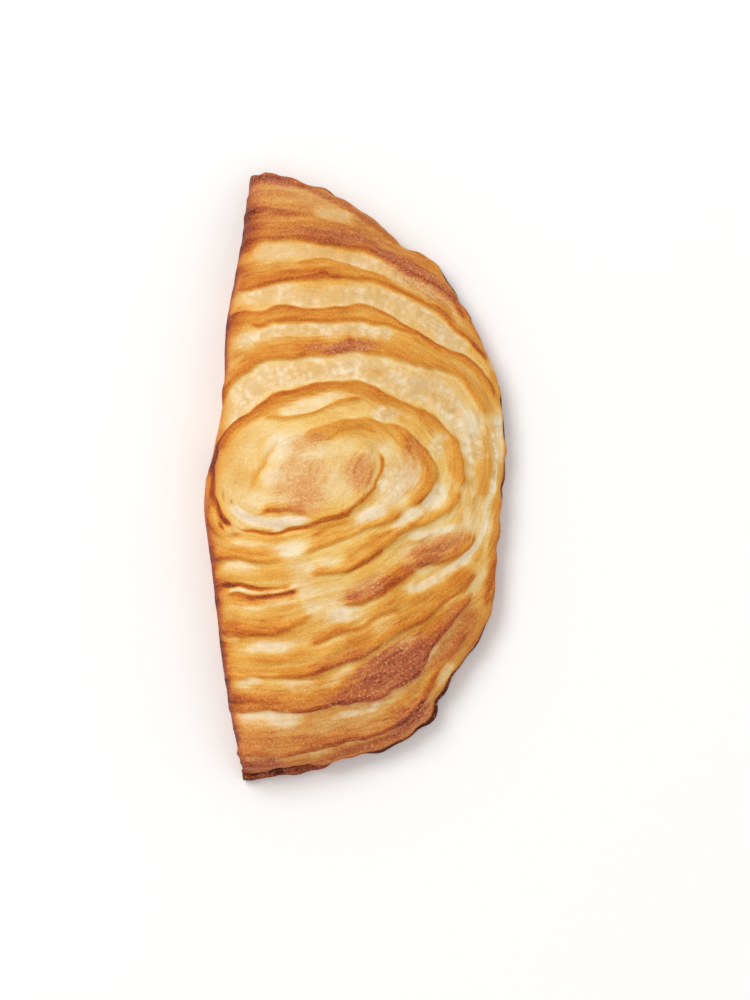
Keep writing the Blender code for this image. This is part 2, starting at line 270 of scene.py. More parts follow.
# The plies as they lie on this piece, from the upper tip down. For each: its line; how far its browned band
# reaches from the line; how browned it is; how far it stands up, or sinks under 0. Some add which side of
# their travel is steep (1 left, -1 right, 0 neither) and how dark a thin line runs there: partly a browned
# edge, partly painted shadow of the step. Without a steep side the line is the middle of the band. A pair
# holds at the line's start and end.
plies = {
    "tipEdge": (((-26.5, 76), (-21, 76), (-15, 74.2), (-8, 71), (0, 66.3), (6, 61.8), (12.5, 57.2)),
        (1.3, 0.9), (0.6, 0.62), 0.4),
    "second": (((-29.5, 65.3), (-25, 65.3), (-20, 65), (-14, 64.4)), 0.8, (0.8, 0.5), 0.4),
    "secondOn": (((-24, 65.1), (-14, 64.4), (-9.5, 62.8), (-4, 61.2), (2, 60.2), (7, 57.8), (12, 54.6),
        (17, 51.5)), 0.8, (0.42, 0.35), 0.4),
    "thirdTop": (((-27, 61.4), (-18, 61.3), (-9, 60.8), (-2, 59.6), (4, 57.9)),
        0.45, (0.5, 0.3), 0.3),
    "third": (((-29.8, 56.6), (-22, 56.9), (-12, 56.7), (-4, 55.6), (2, 54.2), (8, 51.6), (14, 49),
        (19, 46.2), (23.5, 42.5), (28, 37)), (3.8, 4.6), (0.49, 0.6), 1, -1, (0.25, 0.3)),
    "fourth": (((-31, 44.6), (-25, 44.9), (-19, 45.7), (-13, 46.2), (-6, 46.9), (-1, 46.7)),
        (3.4, 2.4), (0.68, 0.56), 0.9, -1, (0.2, 0.45)),
    "fourthTop": (((-17, 49.8), (-12, 51.4), (-7, 51.6), (-2, 50.8), (3, 48.6), (9, 46.6)),
        (2.4, 1.2), (0.42, 0.35), 0.5, 1, 0.1),
    "fourthDark": (((-18, 45.7), (-13, 46.1), (-8, 46.4), (-4.5, 47.2), (0, 46.6), (6, 45.3), (12, 43.8),
        (18, 41.2), (22, 38.4), (26, 34.2), (30, 30.8), (33, 26.5)),
        (1.2, 2.4), (0.42, 0.62), 0.7, -1, (0.15, 0.4)),
    "fifth": (((-32.5, 38.4), (-26, 38.4), (-19, 38.4), (-12, 38.6), (-5, 39), (1, 39.6), (6, 38.4),
        (11, 35.8), (16, 32.8), (22, 30), (28, 27.4), (33, 22.5), (35, 17)),
        (1.9, 2.2), (0.5, 0.5), 0.8, 1, (0.2, 0.3)),
    "fifthLow": (((-27, 35), (-20, 35.4), (-12, 35.4), (-5, 35.4), (2, 35.1), (8, 34.4), (13, 32.7),
        (17, 31)), 1.5, (0.48, 0.42), 0.5, -1, 0.28),
    "sixth": (((-34.5, 15.5), (-32, 19), (-28.5, 22), (-24.5, 25), (-20, 26.6), (-14, 27.1), (-8, 27.7),
        (-2, 28.5), (4, 27.6), (10, 25.8), (16, 24.6), (22, 23.8), (27, 21), (30.5, 16.5), (32, 12)),
        (4.2, 2.6), (0.65, 0.42), 1.1, -1, 0.1),
    "sixthLine": (((-16, 26.8), (-11, 27.4), (-6, 28.2), (-1, 28.5), (5, 27.3), (9, 26.2)),
        (2, 1), (0.6, 0.4), 0.2, -1, (0.35, 0.15)),
    "sixthTop": (((7, 29.8), (12, 29.2), (17, 28.1), (22, 26.6)), 0.6, 0.38, 0.3),
    "eyeCover": (((-35, 2), (-33.3, 6), (-30, 10), (-26.5, 12.6), (-22.5, 15.2), (-17.5, 18), (-12, 19.6),
        (-6, 20), (0, 19.6), (5, 17.8), (10, 15.7), (15, 13.2), (19, 10.8), (23, 7.6), (25.6, 3.5),
        (26.7, -1.5), (26, -6.5)), (1.9, 1.9), (0.74, 0.48), 1, 1, (0.3, 0.08)),
    "eyeCoverDark": (((4, 17.4), (9, 15.6), (13, 13.6), (17, 11.2), (20, 9)), 0.8, 0.4, 0),
    "flapTop": (((-14, 17.4), (-7, 17.9), (0, 17.6)), 0.4, 0.42, -0.2),
    "flapStep": (((-24, 11), (-18, 11.7), (-12, 12.6), (-7, 13.9), (-2, 15.3), (3, 16.3)),
        0.7, 0.22, 0.8, -1, (0.25, 0.32)),
    "eyeArc": (((-14, 6.5), (-10, 8.4), (-5, 9.4), (0, 10.3), (4.5, 10.3), (9, 9), (13, 7), (16.5, 4),
        (19, 0.5), (19.6, -3), (18.4, -6.5), (15.5, -9.4), (12, -11.2)),
        (2.2, 2.6), (0.4, 0.5), 0.8, 1, (0.05, 0.2)),
    "eyeArcBrown": (((9.5, 7.8), (13, 5.8), (16, 3), (17.6, -1), (17.8, -4.5), (16, -7.6)),
        1.2, (0.46, 0.48), 0.3),
    "eyeArcLow": (((-9, 4.6), (-6, 6.6), (-2, 7.8), (2, 8), (7, 7)), 0.5, 0.42, 0.2, 0, 0.1),
    "eyeLip": (((-24, -13), (-20.5, -12.3), (-15.5, -12.6), (-10.5, -13.3)),
        1.6, (0.62, 0.35), 0.6, -1, (0.45, 0.1)),
    "eyeRim": (((4.9, 3.2), (6.2, 1), (6.5, -2), (5.6, -5.4), (3.2, -8.6), (0, -10.8), (-4.5, -13),
        (-9, -15), (-12.5, -16.2)), 0.7, (0.62, 0.6), 0.3, 0, 0.25),
    "eyeCrease": (((-25.2, -8), (-23.9, -4), (-22.6, -0.8), (-20.6, 3.2), (-18.4, 6.6)),
        0.55, (0.3, 0.42), -0.5),
    "eyeCurl": (((-1.6, -5), (-0.4, -1.4), (1.4, 1.6), (3.6, 2.6)), 0.4, (0.3, 0.4), 0.3, 0, 0.1),
    "eyeRimFold": (((3.2, 0.5), (3.4, -4), (2, -7.4), (0.9, -9.6)), 0.4, 0.45, 0.1),
    # Sunk creases round the eye: their dark band and line are partly browned crust, partly painted shade in
    # the crease.
    "eyeOutline": (((-33, 6.5), (-34.8, 1.5), (-35.5, -3), (-35.2, -7.5), (-33.8, -11), (-31.6, -14),
        (-29, -16.2)), 0.8, (0.78, 0.85), -0.6, 0, (0.25, 0.5)),
    "eyeOutlineLow": (((-29, -15.8), (-25, -16.9), (-20.5, -17.5), (-16, -17.1), (-11, -15.9), (-5, -14),
        (0, -11.9)), 0.5, (0.75, 0.6), -0.4, 0, 0.3),
    "outerFold": (((-33.8, -12), (-32.8, -15), (-30.6, -17.4)), 0.4, 0.5, -0.4, 0, 0.35),
    "wedge": (((-10.5, -19.8), (-8.5, -17.6), (-5, -15.8), (0, -14)), 1.2, (0.5, 0.3), 0.3, -1, 0.15),
    "ringTwo": (((24, 2), (23.8, -1), (22.8, -4)), 0.45, 0.42, 0.2),
    "seventh": (((-36, -23.6), (-31, -24.4), (-25, -24.8), (-20, -24.9), (-16, -24.4)),
        2.4, (0.46, 0.34), 0.8, -1, (0.35, 0.1)),
    "seventhOn": (((-13.5, -24), (-9, -21.8), (-4, -19.9), (1, -18.2), (6, -16.2), (10, -13.8),
        (12.5, -11.5)), 1.8, (0.34, 0.42), 0.7, -1, (0.15, 0.3)),
    "eighth": (((-34.8, -29.6), (-31, -30.6), (-26, -31.2), (-20, -31.1), (-14, -30.3)),
        (0.9, 0.4), (1.1, 0.35), -0.45, 0, (0.6, 0.1)),
    "eighthOn": (((-12, -29.4), (-8, -28.6), (-5, -27.9), (0, -26.2), (3, -24.4), (8, -21.2), (12, -18.4),
        (16, -15.8), (20, -12.8), (24, -9.4), (26.4, -5)), (2, 1.4), (0.5, 0.42), 0.9, -1, (0.05, 0.15)),
    "eighthLine": (((-5, -28.4), (0, -26.7), (3, -24.9), (8, -21.6)), 0.5, 0.4, 0.1, -1, 0.4),
    "underPale": (((-33, -32.7), (-28, -33.2), (-22, -33), (-17, -32.2), (-12.8, -31.5)),
        1.4, (0.62, 0.7), -0.2, 1, (0.25, 0.5)),
    # A crack: nearly black, partly browned edge, partly painted shadow in the gap.
    "slit": (((-16, -32.1), (-12.7, -31.5)), 0.4, 1, -0.5, 0, 0.8),
    "ninth": (((-34, -41.2), (-28, -42), (-22, -42.2), (-17, -41.2), (-13, -39.2), (-10, -37.6)),
        (3.6, 2.5), (0.6, 0.42), 0.8, -1, 0.12),
    "ninthLine": (((-32, -38.2), (-26, -39.5), (-21, -39.5), (-15, -38.6)), 0.45, (0.65, 0.45), 0.2),
    "eighthTop": (((-4, -24.6), (1, -22.4), (6, -19.5), (11, -17.2)),
        0.9, (0.4, 0.3), 0.4, -1, (0.1, 0.25)),
    "ninthOn": (((-4, -35.8), (1, -35.2), (4.5, -33.8), (8, -31.3), (11.5, -28.9), (16.5, -25.8)),
        (2.2, 2.2), (0.54, 0.62), 0.7, -1, (0.3, 0.3)),
    "ninthDark": (((3, -33.6), (7, -31.7), (10.4, -29.6), (13.8, -27.6)),
        0.5, (0.45, 0.8), 0.2, -1, (0.3, 0.5)),
    "ninthTop": (((4, -31.8), (8, -29.6), (12.4, -26.6)), 0.35, (0.4, 0.5), 0.2),
    "ninthEnd": (((13, -26.6), (18, -25.4), (22, -24.6), (26, -22.8), (28.8, -19.5), (29.6, -15)),
        3.6, (0.5, 0.56), 0.8, -1, (0.15, 0.3)),
    "tenthThin": (((-13, -45.4), (-8, -43.4), (-3, -41.4), (2, -39.4), (7, -37.2), (12, -35.2)),
        1.6, (0.58, 0.45), 0.5, -1, 0.25),
    "tenthGold": (((4, -36), (9, -34.6), (14, -33), (19, -31.2)), 1.2, 0.36, 0.4),
    "tenthFill": (((-33, -48.4), (-24, -49), (-16, -48.2), (-9, -46.8), (-3, -44.6)), 1.8, 0.16, 0.4),
    "tenth": (((-33.5, -52.3), (-26, -52.8), (-19, -52.7), (-12, -52), (-7, -50.4), (-2, -48.6),
        (3, -46.6), (8, -43)), (1.8, 2.6), (0.28, 0.5), 0.7, -1, (0.15, 0.4)),
    "tenthOn": (((-3, -49), (2, -46.6), (7, -43.4), (12, -40.6), (16, -38.4), (20, -35.8), (24, -32.6),
        (28, -28.8), (30.6, -25.2)), (3, 4), (0.5, 0.6), 1, -1, (0.1, 0.35)),
    "eleventh": (((-33, -60), (-26, -61), (-19, -61), (-12, -60.3), (-6, -59.4), (-2, -58.5)),
        3.2, (0.6, 0.42), 0.8, -1, (0.12, 0.3)),
    "eleventhOn": (((-18, -61), (-12, -60.4), (-6, -59.4), (0, -58), (5, -57), (9.5, -54.9), (13.5, -51.8),
        (16.5, -48), (18.5, -44.4), (22, -40), (26, -35.6), (29.5, -31)),
        (4.4, 5), (0.55, 0.58), 1, -1, (0.5, 0.25)),
    "eleventhRight": (((17, -52), (20.5, -47), (24, -42.5), (27.5, -38), (30.5, -34)),
        1.2, 0.45, 0.4),
    "twelfth": (((-30, -70), (-22, -71.4), (-14, -70.8), (-7, -69.1), (0, -67.5), (6, -65.2), (11, -63),
        (15, -60.2), (17.6, -56)), (3, 2.2), (0.44, 0.6), 0.8, -1, (0.2, 0.45)),
    "twelfthOn": (((15, -60.2), (17.2, -56), (19.4, -50.6), (23.8, -45.2), (28.4, -39.6)),
        (1.1, 0.8), (0.55, 0.45), 0.5),
    "lowEdge": (((-28.5, -73.8), (-20, -74.2), (-12, -73.6), (-5, -72.2), (2, -70), (9, -66.9),
        (15, -62.6), (18.8, -58)), 1.4, (0.4, 0.46), 0.4, -1, (0.25, 0.2)),
    "ringOne": (((31.6, 13), (32.2, 6), (32.3, -1), (31.4, -9)), 1, (0.35, 0.5), 0.6),
    "tipStrip": (((-29, -75.9), (-22, -76.1), (-15, -75), (-8, -73.1)), 1.2, (0.7, 0.5), 0.1),
    "rimBand": (((33.5, 27), (35.2, 20), (36.1, 12)), 1, (0.45, 0.2), 0.2),
    "rimBandOn": (((37, 4), (36.6, -1), (36, -6), (35.2, -14), (34.2, -22), (33.2, -30), (32.4, -36)),
        1.5, (0.4, 0.66), 0.2),
    "rimBandLow": (((31.8, -38.8), (25.6, -50.6), (21.4, -56.4), (18.6, -61.2), (10.8, -65.8), (3, -68.4),
        (-8, -71.2)), 0.8, (0.3, 0.55), 0.2),
    "rimBandTop": (((14, 57.4), (20.4, 52), (26, 44.5), (30, 37), (33.2, 29)), 1.2, (0.5, 0.4), 0.2),
}

# Drier toasted places on and between the bands: centre, radii, tilt in degrees, amount.
toastedPatches = (
    ((-13, -5.5), (6, 8), -12, 0.24), ((0.8, -2.3), (3.4, 4), 0, 0.27), ((-12, 5.4), (5, 2.4), 8, 0.18),
    ((20, -20.8), (8.4, 3), 34, 0.24), ((9, -50.5), (11.5, 4.8), 36, 0.45), ((15, 49), (13, 3), -34, 0.28),
    ((-22, 75.4), (6, 2.4), -6, 0.5), ((-4, 58), (13, 2), -4, 0.16), ((4, -70), (15, 2.6), 16, 0.16),
    ((14, -63.5), (8, 3.6), 44, 0.34), ((1, -56.5), (9, 2.2), 14, 0.22), ((23, -42), (9, 4.6), 54, 0.16),
    ((2.5, -31.5), (6, 2), 28, 0.26), ((-2.5, 29.2), (8, 1.6), 2, 0.32),
    ((13.5, 0.5), (2.6, 5.5), -12, 0.14), ((-2, -47.5), (8, 2.2), 18, 0.1),
    ((-24, -74), (8, 1.6), -3, 0.3),
)

# Small darker spots, and paler ones where the amount is under 0: centre, radii, tilt, amount. Some are
# browned dough; those in the creases round the eye and along the right rim are painted shade.
darkAndShadeSpots = (
    ((-29.4, -17.6), (1.6, 0.9), 0, 0.6), ((-32.3, -7.6), (0.35, 1.3), 0, 0.55),
    ((-29.5, -9.4), (0.35, 0.6), 0, 0.5), ((-1.8, 31), (0.9, 1.3), 0, 0.45),
    ((1.1, -9.5), (0.7, 0.5), 0, 0.5), ((2.6, -24.8), (2.2, 0.6), 20, 0.4), ((12, 6), (1, 0.8), -30, 0.3),
    ((12.8, 3.6), (0.9, 0.6), -50, 0.45), ((23.3, 13.7), (0.6, 0.4), 0, 0.4),
    ((5, 22.5), (3.6, 1.6), -8, 0.44), ((20, 17), (4.2, 2.2), -32, 0.34), ((-9.5, 42), (5.5, 2), 0, 0.28),
    ((15, 19.6), (8, 2.4), -28, 0.14), ((-29, -2), (5, 9), 0, 0.24), ((33.5, -27), (3, 10), 0, 0.36),
    ((28.5, -42), (7, 3), 55, 0.32), ((-14, 72.8), (1, 0.7), 0, 0.5), ((-7.5, 70), (1.6, 0.6), -25, 0.5),
    ((9.8, -29.4), (5, 1), 34, 0.5), ((-4, 53.2), (7, 1.6), 0, 0.16), ((-8, -25), (16, 7), 0, -0.07),
    ((0, 22), (11, 7), 0, -0.06), ((-16, 37), (9, 6), 0, -0.05),
)

# Darker dough along the fold's edge, partly browning and partly painted shade where its side turns from the
# light: place up the fold, reach along it, width, amount.
foldBrowningAndShade = (
    (74, 4, 2.4, 0.45), (60.5, 8.5, 3.6, 0.6), (47, 3.5, 2, 0.5), (36.3, 3, 4.2, 0.6), (29, 6, 0.9, 0.5),
    (18, 5, 1.5, 0.45), (-20, 5, 1.5, 0.45), (-24, 2, 3.4, 0.45), (-30, 2.2, 3.4, 0.55),
    (-37, 6, 1.8, 0.6), (-50, 6, 1.8, 0.55), (-59, 3, 2.4, 0.45), (-70, 6, 1.4, 0.35), (48, 34, 1.1, 0.68),
    (-48, 33, 1.3, 0.85), (50, 30, 3.8, 0.4), (-40, 30, 3.4, 0.4), (-4, 19, 3.3, 0.66), (-41, 6, 2.6, 0.3),
    (54, 8, 4.4, 0.26),
)

# Pale laminated dough between the crests: line, half width, amount, and how pink, or yellow under 0.
paleBands = {
    "underThird": (((-28, 53.4), (-22, 53.4), (-15, 53.4), (-8, 53.5), (0, 52.2), (6, 49.8), (12, 47.2),
        (18, 43.8), (23, 40), (27, 35)), 2, 0.8, 1),
    "underFourth": (((-31, 42.3), (-24, 42.6), (-16, 41.8), (-8, 42), (0, 42.3), (8, 41.5), (14, 39.4),
        (19, 36.6), (24, 33), (28, 28.8)), 2.6, 0.78, 0.6),
    "underFifth": (((-31, 30.5), (-22, 32.8), (-14, 33.3), (-6, 33), (0, 33), (6, 32.6), (11, 31.6)),
        1.5, 0.88, 0.5),
    "underSixth": (((-35, 9), (-32, 13), (-27.5, 17.6), (-22, 21.4), (-15, 23.4), (-8, 24), (0, 23.6),
        (8, 21.8), (16, 19), (22, 15.5), (26.5, 11.5), (29, 6), (29.3, 0)), 3.2, 0.75, 0.5),
    "flap": (((-20, 13.2), (-14, 14.8), (-8, 16.2), (-1, 17)), 1.6, 0.85, -0.3),
    "eyeLow": (((-31.6, -9.6), (-28.5, -12.1), (-25, -14.2), (-21, -15), (-16, -15), (-10.5, -14.6)),
        1.2, 1, 0.3),
    "ringInner": (((28.6, 5), (29.2, -3), (28.6, -9)), 1, 0.8, -0.2),
    "ringOuter": (((34.2, 10), (34.3, 2), (33.6, -6), (32, -13), (30.8, -18), (28, -22.5), (23, -26)),
        0.6, 0.9, 0.2),
    "rimYellow": (((33.3, -12), (32.8, -20), (31, -27), (28.5, -32)), 1.2, 0.45, -0.6),
    "split": (((-32.5, -31.9), (-27, -32.2), (-21, -31.9), (-16, -31.1), (-12.5, -30.3)), 0.6, 0.65, 0.1),
    "overTenth": (((11, -31), (15, -30.3), (20, -28.6), (25, -25.4), (29.5, -20.5)), 1.1, 0.85, -0.1),
    "overNinth": (((14, -19.8), (18, -17.6), (22, -15.2), (25.5, -13.5)), 1.1, 0.8, 0.3),
    "overEleventh": (((8, -46.5), (11.5, -44.3), (16, -42)), 0.9, 0.8, 0.6),
    "foldSliver": (((-34, 12.5), (-35.4, 6.5), (-37, -1), (-37.2, -8), (-36.6, -15)), 0.8, 0.6, 0.8),
    "outerRing": (((-33.5, -16), (-35, -13), (-36, -9)), 0.9, 0.8, 0.9),
}

# Pale patches: centre, radii, tilt in degrees, amount, pink.
palePatches = (
    ((-5.5, 65), (5.2, 2.2), -15, 0.9, 0.1), ((-15, 52.3), (2.2, 1.2), 0, 0.5, 0.1),
    ((27.5, 11.8), (2.6, 3.3), 0, 0.6, -0.2), ((7.5, 12.3), (3.2, 1.8), 0, 0.85, 0.4),
    ((-27, 1.3), (3.4, 3.4), 0, 0.3, -0.6), ((-18.6, 3.4), (2.6, 4.4), -25, 0.55, 0.6),
    ((-20.6, -3.6), (2.2, 3), 0, 0.62, 0.6), ((9, -5), (3.4, 5.4), -10, 0.75, 0.2),
    ((13.6, -2.6), (2, 3.6), 0, 0.75, 1), ((20.5, 5), (2, 4.2), -20, 0.7, 0),
    ((20, -8), (3.2, 2.6), 30, 0.75, 0), ((4.5, -13.2), (4.2, 1.5), 22, 0.95, 0.2),
    ((12.9, -14), (4.4, 1.7), 38, 0.95, 0.1), ((-15, -21.6), (5, 1.7), 8, 0.55, 0.4),
    ((-29, -27), (5, 1.6), 0, 0.5, 0.6), ((-3, -37.6), (4.2, 1.8), 20, 0.7, 0.4),
    ((6.5, -39.8), (3.6, 1.3), 30, 0.75, 0.7), ((-21, -45.2), (5.5, 1.3), 3, 0.9, 0.2),
    ((-30.5, -42.6), (2.4, 0.8), -8, 0.8, 0.9), ((-26.5, -54.2), (4, 1.5), 0, 0.85, 0.8),
    ((-14, -54.6), (4.5, 1.4), 3, 0.85, 0.6), ((-4, -52.4), (4.5, 1.3), 25, 0.8, 0.5),
    ((3, -50), (3, 1), 25, 0.5, 0.9), ((2.5, -44.6), (3, 1), 30, 0.5, 0.9),
    ((18.8, -46.8), (1.3, 3), -28, 0.8, 0.1), ((-26, -62.6), (4.5, 1.2), -8, 0.65, 0.9),
    ((-17.5, -63), (5, 1.8), 5, 0.8, 0.3), ((-2, -61.8), (4, 1.1), 14, 0.8, 0.3),
    ((4, -59), (2.2, 1), 30, 0.6, 0), ((0, -68.6), (3.2, 0.9), 12, 0.8, 0.7),
    ((35.9, 13), (1.3, 3.4), 8, 0.95, 1), ((-20, 70), (9, 2.6), -3, 0.3, -0.1),
    ((-13, 63), (5, 0.9), 0, 0.5, 0.2), ((-22, -35), (7, 1), 5, 0.6, 0.2),
    ((3, -6.6), (2, 1), 0, 0.4, 0.2), ((-8, -26), (4, 1.4), 20, 0.5, 0.1),
    ((14.5, -57.6), (2.2, 1.2), 35, 0.5, 0.2), ((22.2, -51.6), (1.4, 2.8), -35, 0.85, 0.2),
    ((-28, 52.8), (3, 1.6), 0, 0.7, 0.9), ((-31, 24), (2.4, 3.2), -30, 0.6, 0.7),
    ((-30.5, 41.6), (3, 2.2), 0, 0.6, 0.3), ((-29.5, -5), (3.6, 4), 0, 0.25, -0.9),
    ((-7, 3.4), (6, 2), 10, 0.45, -0.8), ((-21, -9.4), (6, 2), 0, 0.45, -0.9),
    ((7, -1), (2, 4.5), -12, 0.6, -0.2), ((27.5, 24), (5, 1), -42, 0.5, 0.3),
    ((12, 33), (5, 0.9), -28, 0.45, 0.2), ((27, -8), (1.2, 6), 4, 0.5, -0.6),
    ((-25, -20.6), (6, 0.9), -4, 0.4, 0.1), ((-31, -49.8), (3.5, 0.8), -5, 0.5, 0.9),
    ((6, 57.5), (5, 1), -30, 0.5, 0.3), ((24, -33.5), (4, 0.8), 38, 0.4, 0.1),
)


# How the plies are baked and how they stand up. Places are mm up the fold, reaches and rises are mm.
skin = {
    "bandBrowning": 0.70,      # browning of the darkest band
    "bandContrast": 1.15,      # over 1 spares the half-browned bands
    "edgeWander": ((0.36, 9), (0.12, 3)),    # how far edges wander, and the cells of blur, coarse and fine
    "wanderSeeds": ((11, 12), (13, 14)),     # sideways and along the fold
    "bandSpacing": 0.9,        # mm between the points at which a line is read for its band,
    "bandWindow": (3, 5),      # which changes the sheet so far round it: times its reach, and mm more
    "headingSpacing": 2.0,     # the same for its direction
    "headingWindow": 12,
    "farthest": 3,             # distances from a line count up to so many reaches
    "shelfReach": 1.35,        # how far a band fades beyond its own reach on the shelf side
    "steepReach": 0.55,        # mm over which it ends on its steep side
    "squareness": (1.25, 1.5, 1.7),    # of a band's edge: shelf side, steep side, neither
    "bandEnds": (3.5, 1.6),    # mm over which its two ends fade, and how much nearness they lose
    "lineEnds": (3.0, 2.0),    # the same for the fine dark line along a steep edge: browned edge and painted shadow
    "lineWidth": (0.42, 0.6),  # half width of that line, and what darkness adds
    "lineInside": 0.25,        # how far it lies inside the steep edge
    "highlightBelowEdge": (1.1, 0.6),   # from a steep edge down to the painted highlight strip below it, and its half width
    "edgeHighlightStrength": 0.28,          # how much paler the dough is there: a painted highlight
    "haloReach": 3.0,          # golden dough beside a band
    "haloShare": 0.22,
    "haloGold": 0.6,
    "plyRise": 1.2,            # times each ply's own rise
    "ridgeReach": (0.9, 1.1),  # of the ridge, times its band's reach: with a steep side and without
    "scarp": 0.45,             # mm in which a ply drops on its steep side
    "headingReach": 3.5,       # how far a ply turns the dough beside it into its own direction
    "headingBlur": 4,          # cells
    "ringPull": 0.02,          # pull of a plain ring round the eye, where no ply is near
    "hardness": (5, 6, 4, 4),  # how clearly the nearest stroke wins: bands, lines, pale and toasted dough
    "tintEdge": (-0.8, 0.4),   # where the tint of pale dough starts and is full, by nearness,
    "reliefEdge": (-0.2, 0.4),     # and its puckers
    "pinkRange": (-0.5, 1),    # of that tint, yellow to pink
    "baseBake": 0.295,         # colour of the dough between the bands
    "middleBake": (-0.11, -3, 37),     # paler round the middle: amount, place, reach,
    "middleGold": (0.2, -8, 24),       # and more buttery there
    "tipBake": (0.21, 46, 68),         # more towards the upper tip: amount, where it starts and is full,
    "lowBake": (0.06, -38, -74),       # towards the lower corner
    "lowRightBake": (0.06, -25, -50),  # and on the thin lower right,
    "rightOf": (0, 22),                # between these distances to the right
    "tipMatt": (0.5, 48, 62),  # less buttery at the upper tip
    "tipDry": (0.36, 54, 72),  # and drier there
    "lowDry": (0.42, -50, -70),
    "upperCalm": (0.45, -8, 12),       # how much the fine layers fade on the upper half,
    "eyeCalm": 0.85,           # and inside the eye
    "eyeCentre": (-14.5, -1.5),
    "eyeRadii": (21.0, 16.0),
    "eyeRise": 1.1,
    "eyeEdges": (0.80, 0.84),  # where the calm and the rise start to end, as shares of the radii
    "smoothPlaces": (          # a bubble and a stretched flap without cells: centre, radii, tilt, rise
        ((27.3, 11.8), (2.7, 3.4), 0, 0.45), ((-10, 15.8), (11, 2.4), 13, 0.1),
    ),
    "smoothEdge": (1.15, 0.7),     # their edges, as shares of the radii
    "cellsOver": (-14, 4),     # the puckered cells come in here
    "eyeCells": 0.7,           # share of them that the eye lacks
    "laminations": (2, 22, 11.0),      # thicker layers: cells of blur, seed, mm drawn out,
    "streaks": (0, 21, 6.0),           # fine layers,
    "puckers": (1, 23, 2.0),           # puckers across the pale bands
    "blisters": (5, 24),
    "bakeSwing": (0.06, 0.02, 0.02),   # how laminations, streaks and blisters swing the baking
    "goldSwing": 0.12,                 # and laminations the butter gold
    "laminationRise": 0.15,    # layers of 2 to 3 mm
    "streakRise": 0.05,        # layers under 1 mm
    "puckerRise": 0.12,
    "blisterRise": 0.16,
    "blisterSink": -0.5,       # where their hollows are cut off
}


def pairOf(value):
    return value if isinstance(value, tuple) else (value, value)


flatTop = 4     # power of a hump with a flat top
farAway = -2.0  # nearness is counted no lower than this


def hump(distance, reach, power=2):
    return np.exp(-((distance / reach) ** power))


def over(field, amount):
    return 1 - (1 - field) * (1 - amount)


def towards(amount, start, full):
    return amount * smoothStep(start, full, sheetY)


# How much is left of a stroke near its two ends. A trace is left at the very end.
def endFade(along, length, reach, trace=0.2):
    return smoothStep(-trace, reach, np.minimum(along, 1 - along) * length)


# One line over its part of the sheet: how near each cell is (1 on the line, 0 where its band ends and below
# that outside), the soft halo beside it, the ridge it raises, the nearness to the fine dark line itself
# (browned edge and painted shadow), the share along it, and the painted highlight strip under its steep
# edge.
def strokeOn(line, bandReach, side, lineBrownAndShadow=0):
    path = curveThrough(line, spacing=skin["bandSpacing"])
    start, end = pairOf(bandReach)
    times, more = skin["bandWindow"]
    window = sheetWindow(path, max(start, end) * times + more)
    x, y = wanderX[window], wanderY[window]
    gap, along, _, length = nearestOn(path, x.ravel(), y.ravel())
    reach = mixed(start, end, along)
    fadeReach, fadeDepth = skin["bandEnds"]
    ends = endFade(along, length, fadeReach)
    outward = gap * side if side else np.abs(gap)
    shelfPower, steepPower, evenPower = skin["squareness"]
    steepRidge, evenRidge = skin["ridgeReach"]
    most = skin["farthest"]
    if side:
        shelf = np.clip(-outward, 0, None) / (skin["shelfReach"] * reach)
        steep = np.clip(outward, 0, None) / skin["steepReach"]
        closeness = 1 - np.minimum(shelf, most) ** shelfPower - np.minimum(steep, most) ** steepPower
        ridge = np.where(outward < 0, hump(outward, steepRidge * reach), hump(outward, skin["scarp"]))
    else:
        closeness = 1 - np.minimum(outward / reach, most) ** evenPower
        ridge = hump(outward, evenRidge * reach)
    closeness = closeness - fadeDepth * (1 - ends)
    highlightStrip = hump(outward - skin["highlightBelowEdge"][0], skin["highlightBelowEdge"][1]) * ends * (side != 0)
    halo = hump(np.abs(gap), skin["haloReach"] + reach) * ends
    thin, wider = skin["lineWidth"]
    lineHalf = thin + wider * mixed(*pairOf(lineBrownAndShadow), along)
    fadeReach, fadeDepth = skin["lineEnds"]
    nearLine = 1 - np.abs(gap + skin["lineInside"] * side) / lineHalf
    nearLine = nearLine - fadeDepth * (1 - endFade(along, length, fadeReach))
    parts = (closeness, halo, ridge * ends, nearLine, along, highlightStrip)
    return [window] + [part.reshape(x.shape) for part in parts]


# Distance from a tilted oval's centre, 1 on its outline.
def patchOn(centre, radii, tilt):
    turn = np.radians(tilt)
    dx, dy = wanderX - centre[0], wanderY - centre[1]
    u = (dx * np.cos(turn) + dy * np.sin(turn)) / radii[0]
    v = (dy * np.cos(turn) - dx * np.sin(turn)) / radii[1]
    return np.hypot(u, v)


def nearPatch(*oval):
    return np.maximum(1 - patchOn(*oval) ** 2, farAway)


# Amounts of overlapping strokes, blended by how near each one is.
class Blend:
    def __init__(self, hardness):
        self.closeness = np.full(sheetX.shape, farAway)
        self.pull, self.total, self.hardness = np.zeros(sheetX.shape), np.zeros(sheetX.shape), hardness

    def add(self, window, closeness, amount):
        pull = np.exp(self.hardness * np.clip(closeness, farAway, 1))
        self.closeness[window] = np.maximum(self.closeness[window], closeness)
        self.pull[window] += pull
        self.total[window] += pull * amount

    def amount(self):
        return self.total / np.maximum(self.pull, 1e-9)


def wandered(place, seeds):
    for (size, cells), seed in zip(skin["edgeWander"], seeds):
        place = place + size * grain(cells, seed)
    return place


wanderX, wanderY = (wandered(place, seeds) for place, seeds in zip((sheetX, sheetY), skin["wanderSeeds"]))
everywhere = (slice(None), slice(None))

